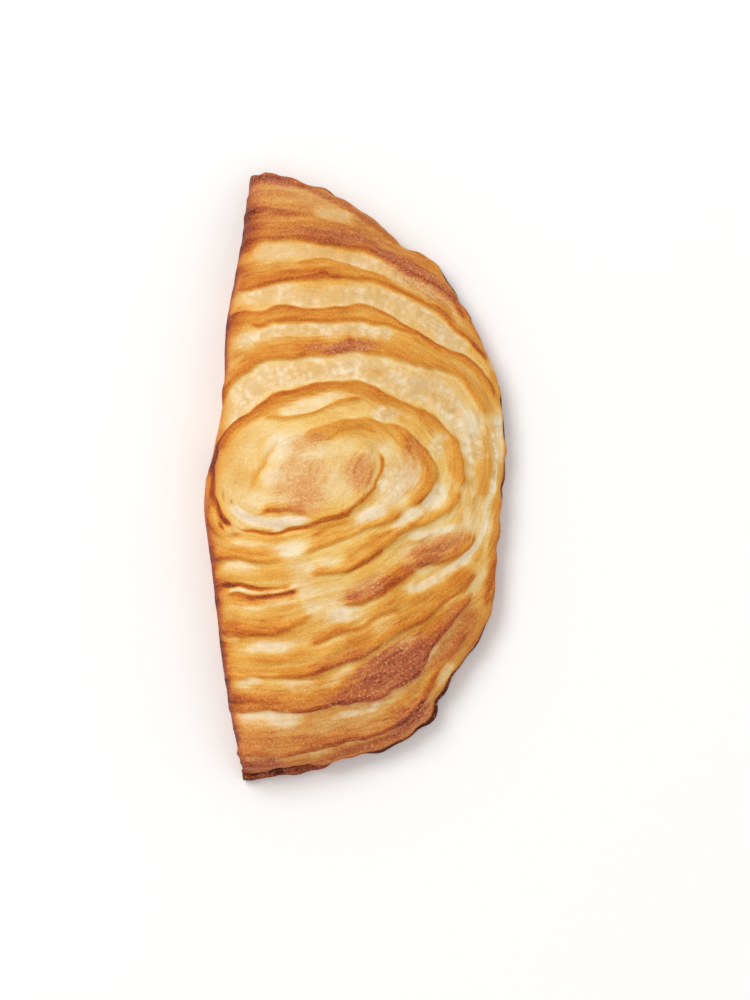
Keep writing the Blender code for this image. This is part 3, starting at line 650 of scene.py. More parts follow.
softBrownAndShade, gold, edgeHighlight, rise, sunk, pink, twiceX, twiceY = (np.zeros(sheetX.shape) for _ in range(8))
band, edgeLinesBrownAndShadow, pale, toast = (Blend(hardness) for hardness in skin["hardness"])
for line, bandReach, browning, stand, *steepSide in plies.values():
    side, lineBrownAndShadow = steepSide or (0, 0)
    window, closeness, halo, ridge, nearLine, along, highlightStrip = strokeOn(line, bandReach, side, lineBrownAndShadow)
    amount = skin["bandBrowning"] * mixed(*pairOf(browning), along) ** skin["bandContrast"]
    band.add(window, closeness, amount)
    softBrownAndShade[window] = over(softBrownAndShade[window], amount * skin["haloShare"] * halo)
    # A painted highlight: paler dough in a strip just below each steep edge.
    edgeHighlight[window] = np.maximum(edgeHighlight[window], amount * highlightStrip)
    golden = skin["haloGold"] * (halo + np.clip(closeness, 0, 1))
    gold[window] = over(gold[window], np.clip(golden, 0, 1))
    if lineBrownAndShadow:
        edgeLinesBrownAndShadow.add(window, nearLine, mixed(*pairOf(lineBrownAndShadow), along))
    if stand < 0:
        sunk[window] = np.minimum(sunk[window], stand * hump(1 - np.clip(closeness, farAway, 1), 1))
    else:
        rise[window] = np.maximum(rise[window], stand * skin["plyRise"] * ridge)

    # The angle is doubled, so that a ply and its reverse pull the same way.
    path = curveThrough(line, spacing=skin["headingSpacing"])
    window = sheetWindow(path, skin["headingWindow"])
    gap, _, heading, _ = nearestOn(path, sheetX[window].ravel(), sheetY[window].ravel())
    pull = hump(gap, skin["headingReach"])
    twiceX[window] += (pull * (heading[:, 0] ** 2 - heading[:, 1] ** 2)).reshape(twiceX[window].shape)
    twiceY[window] += (pull * 2 * heading[:, 0] * heading[:, 1]).reshape(twiceX[window].shape)
for *oval, amount in toastedPatches:
    toast.add(everywhere, nearPatch(*oval), amount)
# Darker spots: browned dough, and painted shade in creases and at the right rim.
for *oval, amount in darkAndShadeSpots:
    softBrownAndShade = over(softBrownAndShade, amount * hump(patchOn(*oval), 1))
for line, bandReach, amount, tint in paleBands.values():
    window, closeness = strokeOn(line, bandReach, 0)[:2]
    pale.add(window, closeness, amount)
    pink[window] += tint * smoothStep(*skin["tintEdge"], closeness)
for *oval, amount, tint in palePatches:
    closeness = nearPatch(*oval)
    pale.add(everywhere, closeness, amount)
    pink += tint * smoothStep(*skin["tintEdge"], closeness)
pink = np.clip(pink, *skin["pinkRange"])

foldLine = curveThrough(form["foldEdge"], spacing=1.0)[::-1]
fromFold = np.clip(sheetX - np.interp(sheetY, foldLine[:, 1], foldLine[:, 0]), 0, None)
# Painted shade along the fold's edge, on top of its browning.
foldBrownAndShade = np.zeros(sheetX.shape)
for place, reach, width, amount in foldBrowningAndShade:
    foldBrownAndShade = over(foldBrownAndShade, amount * hump(wanderY - place, reach, flatTop) * hump(fromFold, width))
print("plies laid out")

# Which way the plies run everywhere, and the count of millimetres across them from the eye outwards.
eyeX, eyeY = skin["eyeCentre"]
ring = np.arctan2(sheetY - eyeY, sheetX - eyeX) + np.pi / 2
twiceX = blurred(twiceX + skin["ringPull"] * np.cos(2 * ring), skin["headingBlur"])
twiceY = blurred(twiceY + skin["ringPull"] * np.sin(2 * ring), skin["headingBlur"])
heading = 0.5 * np.arctan2(twiceY, twiceX)
plyX, plyY = np.cos(heading), np.sin(heading)
outward = np.sign(-plyY * (sheetX - eyeX) + plyX * (sheetY - eyeY))
acrossPlies = heightFromSlope(-plyY * outward, plyX * outward)

laminations, streaks = (drawnOut(grain(blur, seed), plyX, plyY, reach)
                        for blur, seed, reach in (skin["laminations"], skin["streaks"]))
blur, seed, reach = skin["puckers"]
puckers = drawnOut(grain(blur, seed), -plyY, plyX, reach)
blisters = grain(*skin["blisters"])
print("laminations drawn out along the plies")

eyeShare = np.hypot((sheetX - eyeX) / skin["eyeRadii"][0], (sheetY - eyeY) / skin["eyeRadii"][1])
inEye, eyeDome = (1 - smoothStep(start, 1.0, eyeShare) for start in skin["eyeEdges"])
streaky = (1 - skin["eyeCalm"] * inEye) * (1 - towards(*skin["upperCalm"]))
smooth, swollen = np.zeros(sheetX.shape), np.zeros(sheetX.shape)
for *oval, stand in skin["smoothPlaces"]:
    near = smoothStep(*skin["smoothEdge"], patchOn(*oval))
    smooth = np.maximum(smooth, near)
    swollen += stand * near
cells = smoothStep(*skin["cellsOver"], sheetY) * (1 - skin["eyeCells"] * inEye) * (1 - smooth)

amount, place, reach = skin["middleBake"]
bake = skin["baseBake"] + towards(*skin["tipBake"]) + amount * hump(sheetY - place, reach, flatTop)
bake += towards(*skin["lowBake"]) - skin["edgeHighlightStrength"] * edgeHighlight
bake += towards(*skin["lowRightBake"]) * smoothStep(*skin["rightOf"], sheetX)
byLamination, byStreak, byBlister = skin["bakeSwing"]
bake = over(over(bake, softBrownAndShade), foldBrownAndShade) + byBlister * blisters
bake += (byLamination * laminations + byStreak * streaks) * streaky
amount, place, reach = skin["middleGold"]
gold += foldBrownAndShade + skin["goldSwing"] * laminations * streaky + amount * hump(sheetY - place, reach, flatTop)
gold = np.clip(gold, 0, 1) * (1 - towards(*skin["tipMatt"]))
dry = towards(*skin["lowDry"]) + towards(*skin["tipDry"])

height = rise + sunk + swollen + skin["eyeRise"] * eyeDome
height += (skin["laminationRise"] * laminations + skin["streakRise"] * streaks) * streaky
height += skin["puckerRise"] * puckers * pale.amount() * smoothStep(*skin["reliefEdge"], pale.closeness)
height += skin["blisterRise"] * np.maximum(blisters, skin["blisterSink"])


# The skin: one closed mesh, raised along its normals. Baking is 0 for raw dough and 1 for nearly black.
edges = {
    "shifts": (                # sets plies right on the dome, along the fold: centre, reach, mm
        ((-14, 16), 20.0, 1.35), ((-3, -10), 7.5, 1.0), ((10, -23), 7.5, -1.0), ((-10, -50), 11.0, 0.75),
        ((-20, -66), 9.0, 0.5), ((25, 2), 6.0, -0.8),
    ),
    "wallReach": 1.8,          # mm of the top that the fold's wall mirrors,
    "wallEase": 3.0,           # over so many mm of height
    "wallBake": 0.5,           # the wall's own baking,
    "wallEven": 0.72,          # and how far it evens out the pattern lower down
    "foldRelief": 0.2,         # share of the sheet's relief at the fold,
    "foldEase": (0, 0.13),     # growing to all of it between these shares of the top
    "rimRelief": 0.55,         # share of it at the rim,
    "rimEase": (0.93, 1),      # falling to that between these shares of the top,
    "leafFade": (0, 0.3),      # and to nothing between these of the way round the leaves
    "tipEase": 0.012,          # share of the length over which all relief ends at a tip
    "rimLayers": ((0.7, 51, 13, 3), (0.5, 52, 5, 1), (0.5, 53, 31, 6)),    # weight, seed, stretch, thickness
    "leafLayers": 0.30,        # how far the layers stand out round the open rim,
    "layersIn": (0, 0.12),     # coming in here
    "layersOut": (1, 0.9),     # and going out here
    "leafStripes": 0.10,       # how much each thin layer changes the baking there
    "leafBakeAndShade": (0.62, 0.72),  # upper leaf's side, at its top and at the seam, darker downwards: partly browning, partly painted shade,
    "leafBrowns": (0.1, 0.4),  # turning between these shares of the way round the leaves
    "seam": (0.47, 0.05, 0.16),    # place, half width, how much darker: browning and painted shade in the groove
    "lowerFrom": (0.47, 0.56),     # where the lower leaf starts and its baking is full
    # The lower leaf is darker: browned on the tray, and painted shade under the upper leaf.
    "lowerLeafBakeAndShade": 0.80,
    "tipLeafBake": (0.07, -56, -72),   # more towards the lower corner: amount, where it starts and is full
    "leafIn": (0, 0.2),        # where the top's own baking gives way
    "leafPly": 9.0,            # mm across the plies round the leaves
    "rimGold": 0.6,
    "rimDry": (0.25, 0.5),     # upper leaf, lower leaf
    "underBake": 0.60,
    "underPlies": 0.45,        # how much of the top's pattern shows on the underside
    "underMean": 0.45,         # baking of the top that leaves the underside as it is
    "underBlisters": 0.05,
    "underGold": 0.25,
    "underDry": 0.3,
    "underUpWall": 0.55,       # share of the wall that takes on the underside's baking
    "underGrooves": 0.35,
    "grooveEase": 3,           # points over which they come in and go out
    "grooveShape": (0.35, 0.3, 0.5),   # depth without a ply, and what laminations and plies take off it
    "leastNear": -1,           # lowest nearness that the mesh carries
    "tipRings": 5,
    "tipRound": 0.35,          # mm that they bulge
    "upperTip": (0.25, 0.97, 0),       # which way the tips are rounded
    "lowerTip": (0.1, -1, 0),
}


def surfaceNormals(grid):
    along = np.gradient(grid, axis=0)
    across = 0.5 * (np.roll(grid, -1, axis=1) - np.roll(grid, 1, axis=1))
    normals = np.cross(along, across)
    return normals / np.maximum(np.linalg.norm(normals, axis=2, keepdims=True), 1e-9)


grid = plainSurface()
stations, points = grid.shape[:2]
x, y, z = np.moveaxis(grid, 2, 0)
normals = surfaceNormals(grid)
share = np.linspace(0, 1, stations)[:, None]
column = np.arange(points)[None, :]
counts = np.cumsum([0] + list(form["points"].values()))
zones = list(zip(counts, counts[1:]))
onWall, onTop, onLeaf, onBase = ((column >= first) & (column < last) for first, last in zones)
wallPlace, topPlace, leafPlace, basePlace = (np.clip((column - first) / (last - first), 0, 1)
                                             for first, last in zones)

# The fold's wall mirrors what lies above its widest line, and the underside runs out to meet it.
foldX, foldY, foldZ = (part[:, counts[1]][:, None] for part in (x, y, z))
downWall = 1 - np.exp(-(foldZ - z) / edges["wallEase"])
wallX = foldX + edges["wallReach"] * downWall
readX = np.where(onWall, wallX, x + (wallX[:, :1] - x[:, :1]) * basePlace)
readY = np.where(onWall, foldY, y + (foldY - y[:, :1]) * basePlace)
for centre, reach, shift in edges["shifts"]:
    readY = readY + shift * hump(np.hypot(x - centre[0], y - centre[1]), reach)

wallRelief = smoothStep(0, 1, wallPlace) * onWall * edges["foldRelief"]
topRelief = onTop * mixed(edges["foldRelief"], 1, smoothStep(*edges["foldEase"], topPlace))
topRelief = topRelief * mixed(1, edges["rimRelief"], smoothStep(*edges["rimEase"], topPlace))
leafRelief = onLeaf * (1 - smoothStep(*edges["leafFade"], leafPlace)) * edges["rimRelief"]
lift = readSheet(height, readX, readY) * (wallRelief + topRelief + leafRelief)


# Layers round the open rim: noise drawn out along the rim, by height.
def rimLayers(seed, stretch, thickness, spare=8):
    rough = np.random.default_rng(seed).standard_normal((stations, form["points"]["leaf"] + 2 * spare))
    stretched = [np.ones(stretch) / stretch] * 3
    for axis, kernel in [(0, kernel) for kernel in stretched] + [(1, np.hanning(thickness + 2)[1:-1])]:
        rough = np.apply_along_axis(lambda run: np.convolve(run, kernel, mode="same"), axis, rough)
    return evened(rough)[:, spare:-spare]


layers = np.zeros((stations, points))
for weight, *settings in edges["rimLayers"]:
    layers[:, counts[2]:counts[3]] += weight * rimLayers(*settings)
layersEase = smoothStep(*edges["layersIn"], leafPlace) * smoothStep(*edges["layersOut"], leafPlace) * onLeaf
lift = lift + edges["leafLayers"] * layers * layersEase

# The underside stays flat and carries shallow grooves between the plies.
plain, lessLayers, lessPlies = edges["grooveShape"]
groove = plain - lessLayers * readSheet(laminations, readX, readY)
groove = groove - lessPlies * readSheet(rise, readX, readY)
fromEnd = np.minimum(column - counts[3], points - column)
baseEase = onBase * smoothStep(0, edges["grooveEase"], fromEnd)
lift = lift - edges["underGrooves"] * np.clip(groove, 0, 1) * baseEase

tips = smoothStep(0, edges["tipEase"], share) * smoothStep(1, 1 - edges["tipEase"], share)
grid = grid + normals * (lift * tips)[:, :, None]
grid[:, :, 2] = np.maximum(grid[:, :, 2], 0)

# What the mesh carries for the material, read from the sheet and then set anew round the rim and underneath.
fields = {"bake": bake, "gold": gold, "pink": pink, "dry": dry, "streaky": streaky, "cells": cells,
          "pucker": puckers, "ply": acrossPlies}
for name, blend in (("band", band), ("line", edgeLinesBrownAndShadow), ("pale", pale), ("toast", toast)):
    fields[name] = np.maximum(blend.closeness, edges["leastNear"])
    fields[name + "Amount"] = blend.amount()
values = {name: readSheet(field, readX, readY) for name, field in fields.items()}
evening = edges["wallEven"] * downWall * onWall
for name, wallValue in (("bake", edges["wallBake"]), ("bandAmount", 0), ("lineAmount", 0)):
    values[name] = mixed(values[name], wallValue, evening)

lowerPart = smoothStep(*edges["lowerFrom"], leafPlace)
seamPlace, seamWidth, seamBrownAndShade = edges["seam"]
# The rim's sides darken down to the seam and the lower leaf: partly browning, partly painted shade.
leafBakeAndShade = mixed(*edges["leafBakeAndShade"], smoothStep(*edges["leafBrowns"], leafPlace))
leafBakeAndShade = mixed(leafBakeAndShade, edges["lowerLeafBakeAndShade"], lowerPart) + edges["leafStripes"] * layers
leafBakeAndShade = leafBakeAndShade + seamBrownAndShade * hump(leafPlace - seamPlace, seamWidth)
moreBake, start, full = edges["tipLeafBake"]
leafBakeAndShade = leafBakeAndShade + moreBake * smoothStep(start, full, y)
underBake = edges["underBake"] + edges["underPlies"] * (values["bake"] - edges["underMean"])
underBake = underBake + edges["underBlisters"] * readSheet(blisters, readX, readY)
underBand = values["bandAmount"] * edges["underPlies"]
leafIn = smoothStep(*edges["leafIn"], leafPlace) * onLeaf
underIn = np.where(onBase, 1.0, (1 - smoothStep(0, edges["underUpWall"], wallPlace)) * onWall)
for name, leafValue, underValue in (
        ("bake", leafBakeAndShade, underBake), ("gold", edges["rimGold"], edges["underGold"]),
        ("dry", mixed(*edges["rimDry"], lowerPart), edges["underDry"]), ("bandAmount", 0, underBand),
        ("paleAmount", 0, 0), ("pink", 0, 0), ("toast", *[edges["leastNear"]] * 2),
        ("line", *[edges["leastNear"]] * 2)):
    values[name] = mixed(mixed(values[name], leafValue, leafIn), underValue, underIn)
values["ply"] = values["ply"] + edges["leafPly"] * leafPlace * onLeaf
carriedNames = list(values)
values = np.stack(list(values.values()), axis=2)
print("skin raised:", stations, "stations of", points, "points")


# Both tips end in a few shrinking rings round a hub, so they close rounded.
def tipRings(section, outward):
    centre = section.mean(axis=0)
    out = np.array(outward) * edges["tipRound"]
    turns = np.linspace(0, np.pi / 2, edges["tipRings"] + 1)[1:-1]
    rings = np.array([centre + (section - centre) * np.cos(turn) + out * np.sin(turn) for turn in turns])
    rings[:, :, 2] = np.maximum(rings[:, :, 2], 0)
    return rings, centre + out


upperRings, upperHub = tipRings(grid[0], edges["upperTip"])
lowerRings, lowerHub = tipRings(grid[-1], edges["lowerTip"])
rows = np.concatenate([upperRings[::-1], grid, lowerRings])
rowValues = np.pad(values, ((len(upperRings), len(lowerRings)), (0, 0), (0, 0)), mode="edge")
spots = np.arange(points)
nexts = (spots + 1) % points
lastRow = (len(rows) - 1) * points
first = np.arange(0, lastRow, points)[:, None]
quads = np.stack([first + spots, first + spots + points, first + nexts + points, first + nexts], axis=2)
hub = lastRow + points
fans = [np.stack([spots, nexts, np.full(points, hub)], axis=1),
        np.stack([lastRow + nexts, lastRow + spots, np.full(points, hub + 1)], axis=1)]
faces = quads.reshape(-1, 4).tolist() + np.concatenate(fans).tolist()
skinPoints = np.vstack([rows.reshape(-1, 3), upperHub, lowerHub])
hubValues = rowValues[[0, -1]].mean(axis=1)
skinValues = np.vstack([rowValues.reshape(-1, len(carriedNames)), hubValues])

# Set into the CAD solid's own box.
boxLow, boxHigh = (np.array(corner) / mm for corner in cadBox)
low, high = skinPoints.min(axis=0), skinPoints.max(axis=0)
fit = (boxHigh - boxLow) / (high - low)
skinPoints = (skinPoints - 0.5 * (low + high)) * fit + 0.5 * (boxLow + boxHigh)
skinPoints[:, 2] += boxLow[2] - skinPoints[:, 2].min()
print("fit to the box:", fit.round(4))

skinMesh = bpy.data.meshes.new("pastryCrust")
skinMesh.from_pydata((skinPoints * mm).tolist(), [], faces)
skinMesh.update()
for name, run in zip(carriedNames, skinValues.T):
    attribute = skinMesh.attributes.new(name, "FLOAT", "POINT")
    attribute.data.foreach_set("value", run.astype(np.float32))
for polygon in skinMesh.polygons:
    polygon.use_smooth = True
crust = bpy.data.objects.new("pastryCrust", skinMesh)
bpy.context.scene.collection.objects.link(crust)
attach(crust, "root")
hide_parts("turnover")


# Colours are written as sRGB hex and turned to linear here.
def linear(hexColour):
    parts = [int(hexColour[i:i + 2], 16) / 255 for i in (1, 3, 5)]
    return [part / 12.92 if part <= 0.04045 else ((part + 0.055) / 1.055) ** 2.4 for part in parts] + [1.0]


look = {}    # outputs that have a name


# Adds one node with its inputs and settings, and gives the output asked for. An input is a value, or a link
# from another node: its output, or the name that this has in look.
def addNode(tree, kind, inputs=(), output=0, stops=(), **settings):
    node = tree.nodes.new("ShaderNode" + kind)
    for name, value in settings.items():
        setattr(node, name, value)
    for _ in stops[2:]:
        node.color_ramp.elements.new(0.5)
    for stop, (place, colour) in enumerate(stops):
        node.color_ramp.elements[stop].position = place
        node.color_ramp.elements[stop].color = linear(colour)
    for name, value in inputs.items() if isinstance(inputs, dict) else enumerate(inputs):
        value = look[value] if isinstance(value, str) else value
        if isinstance(value, bpy.types.NodeSocket):
            tree.links.new(value, node.inputs[name])
        else:
            node.inputs[name].default_value = value
    return node.outputs[output] if node.outputs else None


def perMm(size):
    return 1 / (size * mm)


# Baked butter puff pastry, rolled thin and baked in a hot oven: matt cream laminated dough in the valleys,
# a translucent butter gold beside each crest, and a dry toasted brown on top, speckled with tiny bubbles.
puffPastry = {
    "dough": ((0.0, "#f4dfb4"), (0.14, "#eccf9a"), (0.30, "#e2b670"), (0.48, "#d39645"), (0.64, "#c07635"),
              (0.80, "#a15128"), (0.92, "#7a331a"), (1.0, "#4d1c0e")),
    "butterGold": ((0.0, "#f5da92"), (0.14, "#f0c974"), (0.30, "#e8b050"), (0.48, "#dd9536"),
                   (0.64, "#cb7423"), (0.80, "#a94814"), (0.92, "#822c0e"), (1.0, "#481608")),
    "toasted": ((0.0, "#f1d3aa"), (0.18, "#eec292"), (0.34, "#e3a96f"), (0.50, "#d58e57"), (0.66, "#c57145"),
                (0.80, "#ae5935"), (0.92, "#8c4026"), (1.0, "#5c2614")),
    "paleCells": ((0.12, "#f5e7d3"), (0.34, "#e9cfae"), (0.56, "#dab589"), (0.80, "#c69c62")),
    "tints": (("#e6c2a4", 0.46), ("#efc96f", -0.9)),    # pale dough that stayed dry, or that butter soaked
    "blisterSkinAndGlint": ("#e8c79c", 0.57, 0.72, 0.5),    # pale dots of burst bubbles, partly painted glints: colour, where they start, are full, strength
    "roughness": (0.56, 0.74), # golden parts shine with butter, toasted parts are dry
    "ior": 1.45,
    "shine": 0.2,              # a dry, floury skin reflects less than its IOR says
    "subsurface": 0.05,
    "subsurfaceRadius": (0.0028, 0.0013, 0.0006),
    "layers": {"layer": (0.8, 6.0), "lamina": (2.3, 13.0)},    # mm between them, mm that one runs
    "layerGrain": (3.0, 0.6),  # detail, roughness
    "grains": {                # mm between features, detail, roughness, distortion
        "bubble": (0.62, 2, 0.65, 0),    # the tiny bubbles of the toasted parts
        "speck": (0.38, 1, 0.5, 0),
        "blotch": (5.0, 3, 0.6, 0),
        "wrinkle": (2.4, 4, 0.7, 0.6),   # wrinkles of the pale dough
    },
    "cellSize": 1.5,           # mm across one pucker of the pale dough,
    "cellRagged": (1.3, 1.6, 2.0),   # mm between the bends of its edge, how far it bends, detail
    "cellMottle": {"blotch": 0.9, "wrinkle": 1.9, "pucker": 0.16, "bubble": 0.6},    # what tints the cells
    "mottleMean": 2.15,        # what their sum is about
    "cellSwing": (0.2, 0.85),  # how far it does so, without puckers and with them
    "cellBase": (0.20, 0.44),  # and the tint that it swings about
    "cellBrowning": (0.27, 0.9),     # baking that leaves the cells as they are, how fast more browns them
    "cellShows": (0.10, 0.45, 0.75),    # baking at which they start to go and are gone, and their strength
    "masks": {                 # what makes an edge uneven, how much, nearness where it starts and is full
        "band": ("layer", 1.6, -0.75, 1.0),
        "line": ("bubble", 0.9, -0.15, 0.6),
        "pale": ("lamina", 3.4, -1.1, 0.9),
        "toast": ("layer", 2.6, -1.0, 1.0),
    },
    "paleTakes": -0.25,        # what pale dough takes off the baking
    "toastDries": 2.8,         # how much drier a toasted patch is
    "speckles": (0.8, 0.3, 1.0),    # dryness that has all bubbles, their strength without it and there
    "bakeSwings": {            # how far each of them changes the baking, and where
        # Bubbles make the toasted parts paler: blister skins, partly painted glints.
        "layer": (0.32, "streaky"), "lamina": (0.42, "streaky"), "bubble": (-0.55, "speckled"),
        "speck": (0.34, None), "blotch": (0.20, None),
    },
    "bubbleRange": (0.3, 0.7), # of that noise, for the roughness
    # mm of relief finer than the mesh, sunk under 0
    "reliefs": {"cellRelief": -0.12, "layer": 0.325, "lineMask": -0.15, "bubbleRelief": 0.2},
}

material = bpy.data.materials.new("baked butter puff pastry")
material.use_nodes = True
tree = material.node_tree
tree.nodes.clear()
place = addNode(tree, "TexCoord", output="Object")
for name in carriedNames:
    look[name] = addNode(tree, "Attribute", output="Fac", attribute_name=name)

# Fine layers: noise that changes fast across the plies and slowly along them.
placeMm = addNode(tree, "VectorMath", {0: place, "Scale": perMm(1)}, operation="SCALE")
detail, rough = puffPastry["layerGrain"]
for name, (size, reach) in puffPastry["layers"].items():
    count = addNode(tree, "Math", ("ply", reach / size), operation="MULTIPLY")
    look[name] = addNode(tree, "TexNoise", {"Vector": placeMm, "W": count, "Scale": 1 / reach,
                                            "Detail": detail, "Roughness": rough}, noise_dimensions="4D")
for name, (size, detail, rough, bend) in puffPastry["grains"].items():
    look[name] = addNode(tree, "TexNoise", {"Vector": place, "Scale": perMm(size), "Detail": detail,
                                            "Roughness": rough, "Distortion": bend})

# Puckers of the pale dough: small uneven cells, each its own tint, darker towards their edges as painted
# shade in the hollows between them, drawn out a little by noise.
size, reach, detail = puffPastry["cellRagged"]
bends = addNode(tree, "TexNoise", {"Vector": place, "Scale": perMm(size), "Detail": detail}, "Color")
cellPlace = addNode(tree, "VectorMath", (bends, [reach * mm] * 3, place), operation="MULTIPLY_ADD")
cellHollowAndShade = addNode(tree, "TexVoronoi", {"Vector": cellPlace, "Scale": perMm(puffPastry["cellSize"])},
                     "Distance", feature="F1")
# Darker towards the cell edges: painted shade in the hollows between the puckers.
cellTint = cellHollowAndShade
for name, weight in puffPastry["cellMottle"].items():
    cellTint = addNode(tree, "Math", (name, weight, cellTint), operation="MULTIPLY_ADD")
cellTint = addNode(tree, "Math", (cellTint, puffPastry["mottleMean"]), operation="SUBTRACT")
cellSwing, cellBase = (addNode(tree, "MapRange", {0: "cells", 3: without, 4: puckered})
                       for without, puckered in (puffPastry["cellSwing"], puffPastry["cellBase"]))
cellTint = addNode(tree, "Math", (cellTint, cellSwing, cellBase), operation="MULTIPLY_ADD")
start, fast = puffPastry["cellBrowning"]
browner = addNode(tree, "Math", ("bake", start), operation="SUBTRACT")
cellTint = addNode(tree, "Math", (browner, fast, cellTint), operation="MULTIPLY_ADD")

# Where the bands, dark lines and pale dough end, with edges as uneven as the layers they follow. The dark
# lines are browned edges and painted shadow below each step.
for name, (noise, most, start, full) in puffPastry["masks"].items():
    uneven = addNode(tree, "Math", (noise, most, name), operation="MULTIPLY_ADD")
    mask = addNode(tree, "MapRange", (uneven, start + most / 2, full + most / 2),
                   interpolation_type="SMOOTHSTEP")
    look[name + "Mask"] = addNode(tree, "Math", (mask, name + "Amount"), operation="MULTIPLY")

# Browning: pale dough loses some of it, bands and dark lines add theirs (the lines partly painted shadow),
# and the fine noises swing it.
baked = addNode(tree, "Math", ("paleMask", puffPastry["paleTakes"], "bake"), operation="MULTIPLY_ADD")
for name in ("toastMask", "bandMask", "lineMask"):
    left = addNode(tree, "Math", (1.0, baked), operation="SUBTRACT")
    baked = addNode(tree, "Math", (left, name, baked), operation="MULTIPLY_ADD")
toasted = addNode(tree, "Math", ("toastMask", puffPastry["toastDries"], "dry"), operation="MULTIPLY_ADD",
                  use_clamp=True)
full, few, many = puffPastry["speckles"]
look["speckled"] = addNode(tree, "MapRange", (toasted, 0.0, full, few, many))
for name, (swing, where) in puffPastry["bakeSwings"].items():
    if where:
        swing = addNode(tree, "Math", (where, swing), operation="MULTIPLY")
    about = addNode(tree, "Math", (name, 0.5), operation="SUBTRACT")
    baked = addNode(tree, "Math", (about, swing, baked), operation="MULTIPLY_ADD")
colour, golden, toastedColour = (addNode(tree, "ValToRGB", [baked], stops=puffPastry[name])
                                 for name in ("dough", "butterGold", "toasted"))

# Burst bubbles leave paler dots on what is toasted: pale blister skins, partly painted glints.
blisterSkinAndGlint, start, full, strength = puffPastry["blisterSkinAndGlint"]
dotsAndGlints = addNode(tree, "MapRange", ("bubble", start, full), interpolation_type="SMOOTHSTEP")
for factor in ("speckled", strength):
    dotsAndGlints = addNode(tree, "Math", (dotsAndGlints, factor), operation="MULTIPLY")

# Pale dough: puckered cells, pinkish where it stayed dry and yellow where butter soaked it.
cellColour = addNode(tree, "ValToRGB", [cellTint], stops=puffPastry["paleCells"])
for tint, way in puffPastry["tints"]:
    amount = addNode(tree, "Math", ("pink", way), operation="MULTIPLY", use_clamp=True)
    cellColour = addNode(tree, "Mix", {0: amount, 6: cellColour, 7: linear(tint)}, 2, data_type="RGBA")
start, gone, strength = puffPastry["cellShows"]
unbrowned = addNode(tree, "MapRange", (baked, start, gone, strength, 0.0))
cellShare = addNode(tree, "Math", (unbrowned, "paleMask"), operation="MULTIPLY")
for amount, laid in (("gold", golden), (toasted, toastedColour), (dotsAndGlints, linear(blisterSkinAndGlint)),
                     (cellShare, cellColour)):
    colour = addNode(tree, "Mix", {0: amount, 6: colour, 7: laid}, 2, data_type="RGBA")

roughness = addNode(tree, "MapRange", ("bubble", *puffPastry["bubbleRange"], *puffPastry["roughness"]))
cellRelief = addNode(tree, "Math", (cellHollowAndShade, "paleMask"), operation="MULTIPLY")
look["cellRelief"] = addNode(tree, "Math", (cellRelief, cellSwing), operation="MULTIPLY")
look["bubbleRelief"] = addNode(tree, "Math", ("bubble", "speckled"), operation="MULTIPLY")
relief = {}
for name, depth in puffPastry["reliefs"].items():
    relief = {"Normal": addNode(tree, "Bump", {"Height": name, "Distance": abs(depth) * mm, "Strength": 1.0,
                                               **relief}, invert=depth < 0)}
shader = addNode(tree, "BsdfPrincipled",
                 {"Base Color": colour, "Roughness": roughness, "IOR": puffPastry["ior"],
                  "Specular IOR Level": puffPastry["shine"], "Subsurface Weight": puffPastry["subsurface"],
                  "Subsurface Scale": 1.0, "Subsurface Radius": puffPastry["subsurfaceRadius"], **relief})
addNode(tree, "OutputMaterial", {"Surface": shader})
skinMesh.materials.append(material)
print("pastry material made")


# Pale floor, soft light and the camera.
studio = {
    "floor": "#fbfaf8",
    "floorSide": 6.0,
    "floorBelow": 0.0001,      # m under the pastry
    "floorRoughness": 0.9,
    "ambient": 0.648,
    "ambientColour": "#ffffff",
    "softboxes": (             # azimuth, elevation, distance, side, power
        (140, 54, 1.6, 0.9, 12.5),
        (-50, 48, 1.8, 1.4, 3.0),
    ),
    "lens": 100.0,
    "sensor": 36.0,
    "distance": 0.705,
    "elevation": 82.0,
    "aimRight": 0.00482,
    "aimUp": -0.00647,
}

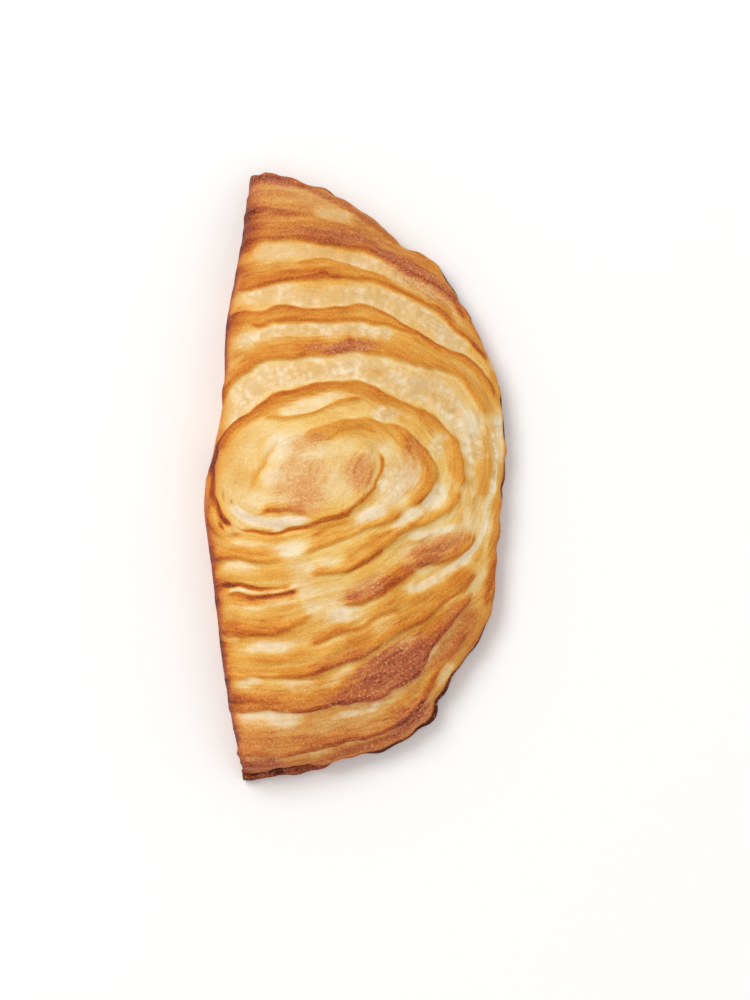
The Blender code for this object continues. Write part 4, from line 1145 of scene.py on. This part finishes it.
boxLow, boxHigh = cadBox
side, level = studio["floorSide"] / 2, boxLow.z - studio["floorBelow"]
floorMesh = bpy.data.meshes.new("floor")
floorCorners = [(-side, -side, level), (side, -side, level), (side, side, level), (-side, side, level)]
floorMesh.from_pydata(floorCorners, [], [(0, 1, 2, 3)])
floorPaint = bpy.data.materials.new("matt white board")    # painted card: even, without a reflection
floorPaint.use_nodes = True
floorPaint.node_tree.nodes.clear()
board = addNode(floorPaint.node_tree, "BsdfPrincipled",
                {"Base Color": linear(studio["floor"]), "Roughness": studio["floorRoughness"]})
addNode(floorPaint.node_tree, "OutputMaterial", {"Surface": board})
floorMesh.materials.append(floorPaint)
floor = bpy.data.objects.new("floor", floorMesh)
bpy.context.scene.collection.objects.link(floor)

scene = bpy.context.scene
scene.view_settings.view_transform = "Standard"
world = bpy.data.worlds.new("studio")
scene.world = world
world.use_nodes = True
world.node_tree.nodes.clear()
sky = addNode(world.node_tree, "Background",
              {"Color": linear(studio["ambientColour"]), "Strength": studio["ambient"]})
addNode(world.node_tree, "OutputWorld", {"Surface": sky})

centre = Vector((0, 0, (boxLow.z + boxHigh.z) / 2))
for azimuth, elevation, distance, size, power in studio["softboxes"]:
    turn, lift = np.radians(azimuth), np.radians(elevation)
    away = Vector((np.cos(lift) * np.cos(turn), np.cos(lift) * np.sin(turn), np.sin(lift)))
    lamp = bpy.data.lights.new("softbox", "AREA")
    lamp.shape, lamp.size, lamp.energy = "DISK", size, power
    softbox = bpy.data.objects.new("softbox", lamp)
    softbox.location = centre + away * distance
    softbox.rotation_euler = away.to_track_quat("Z", "Y").to_euler()
    scene.collection.objects.link(softbox)

lens = bpy.data.cameras.new("camera")
lens.lens, lens.sensor_width = studio["lens"], studio["sensor"]
tilt = np.radians(studio["elevation"])
back = Vector((0, -np.cos(tilt), np.sin(tilt)))
up = Vector((0, np.sin(tilt), np.cos(tilt)))
camera = bpy.data.objects.new("camera", lens)
aim = Vector((studio["aimRight"], 0, 0)) + up * studio["aimUp"]
camera.location = aim + back * studio["distance"]
camera.rotation_euler = (np.pi / 2 - tilt, 0, 0)
scene.collection.objects.link(camera)
scene.camera = camera
print("studio set")
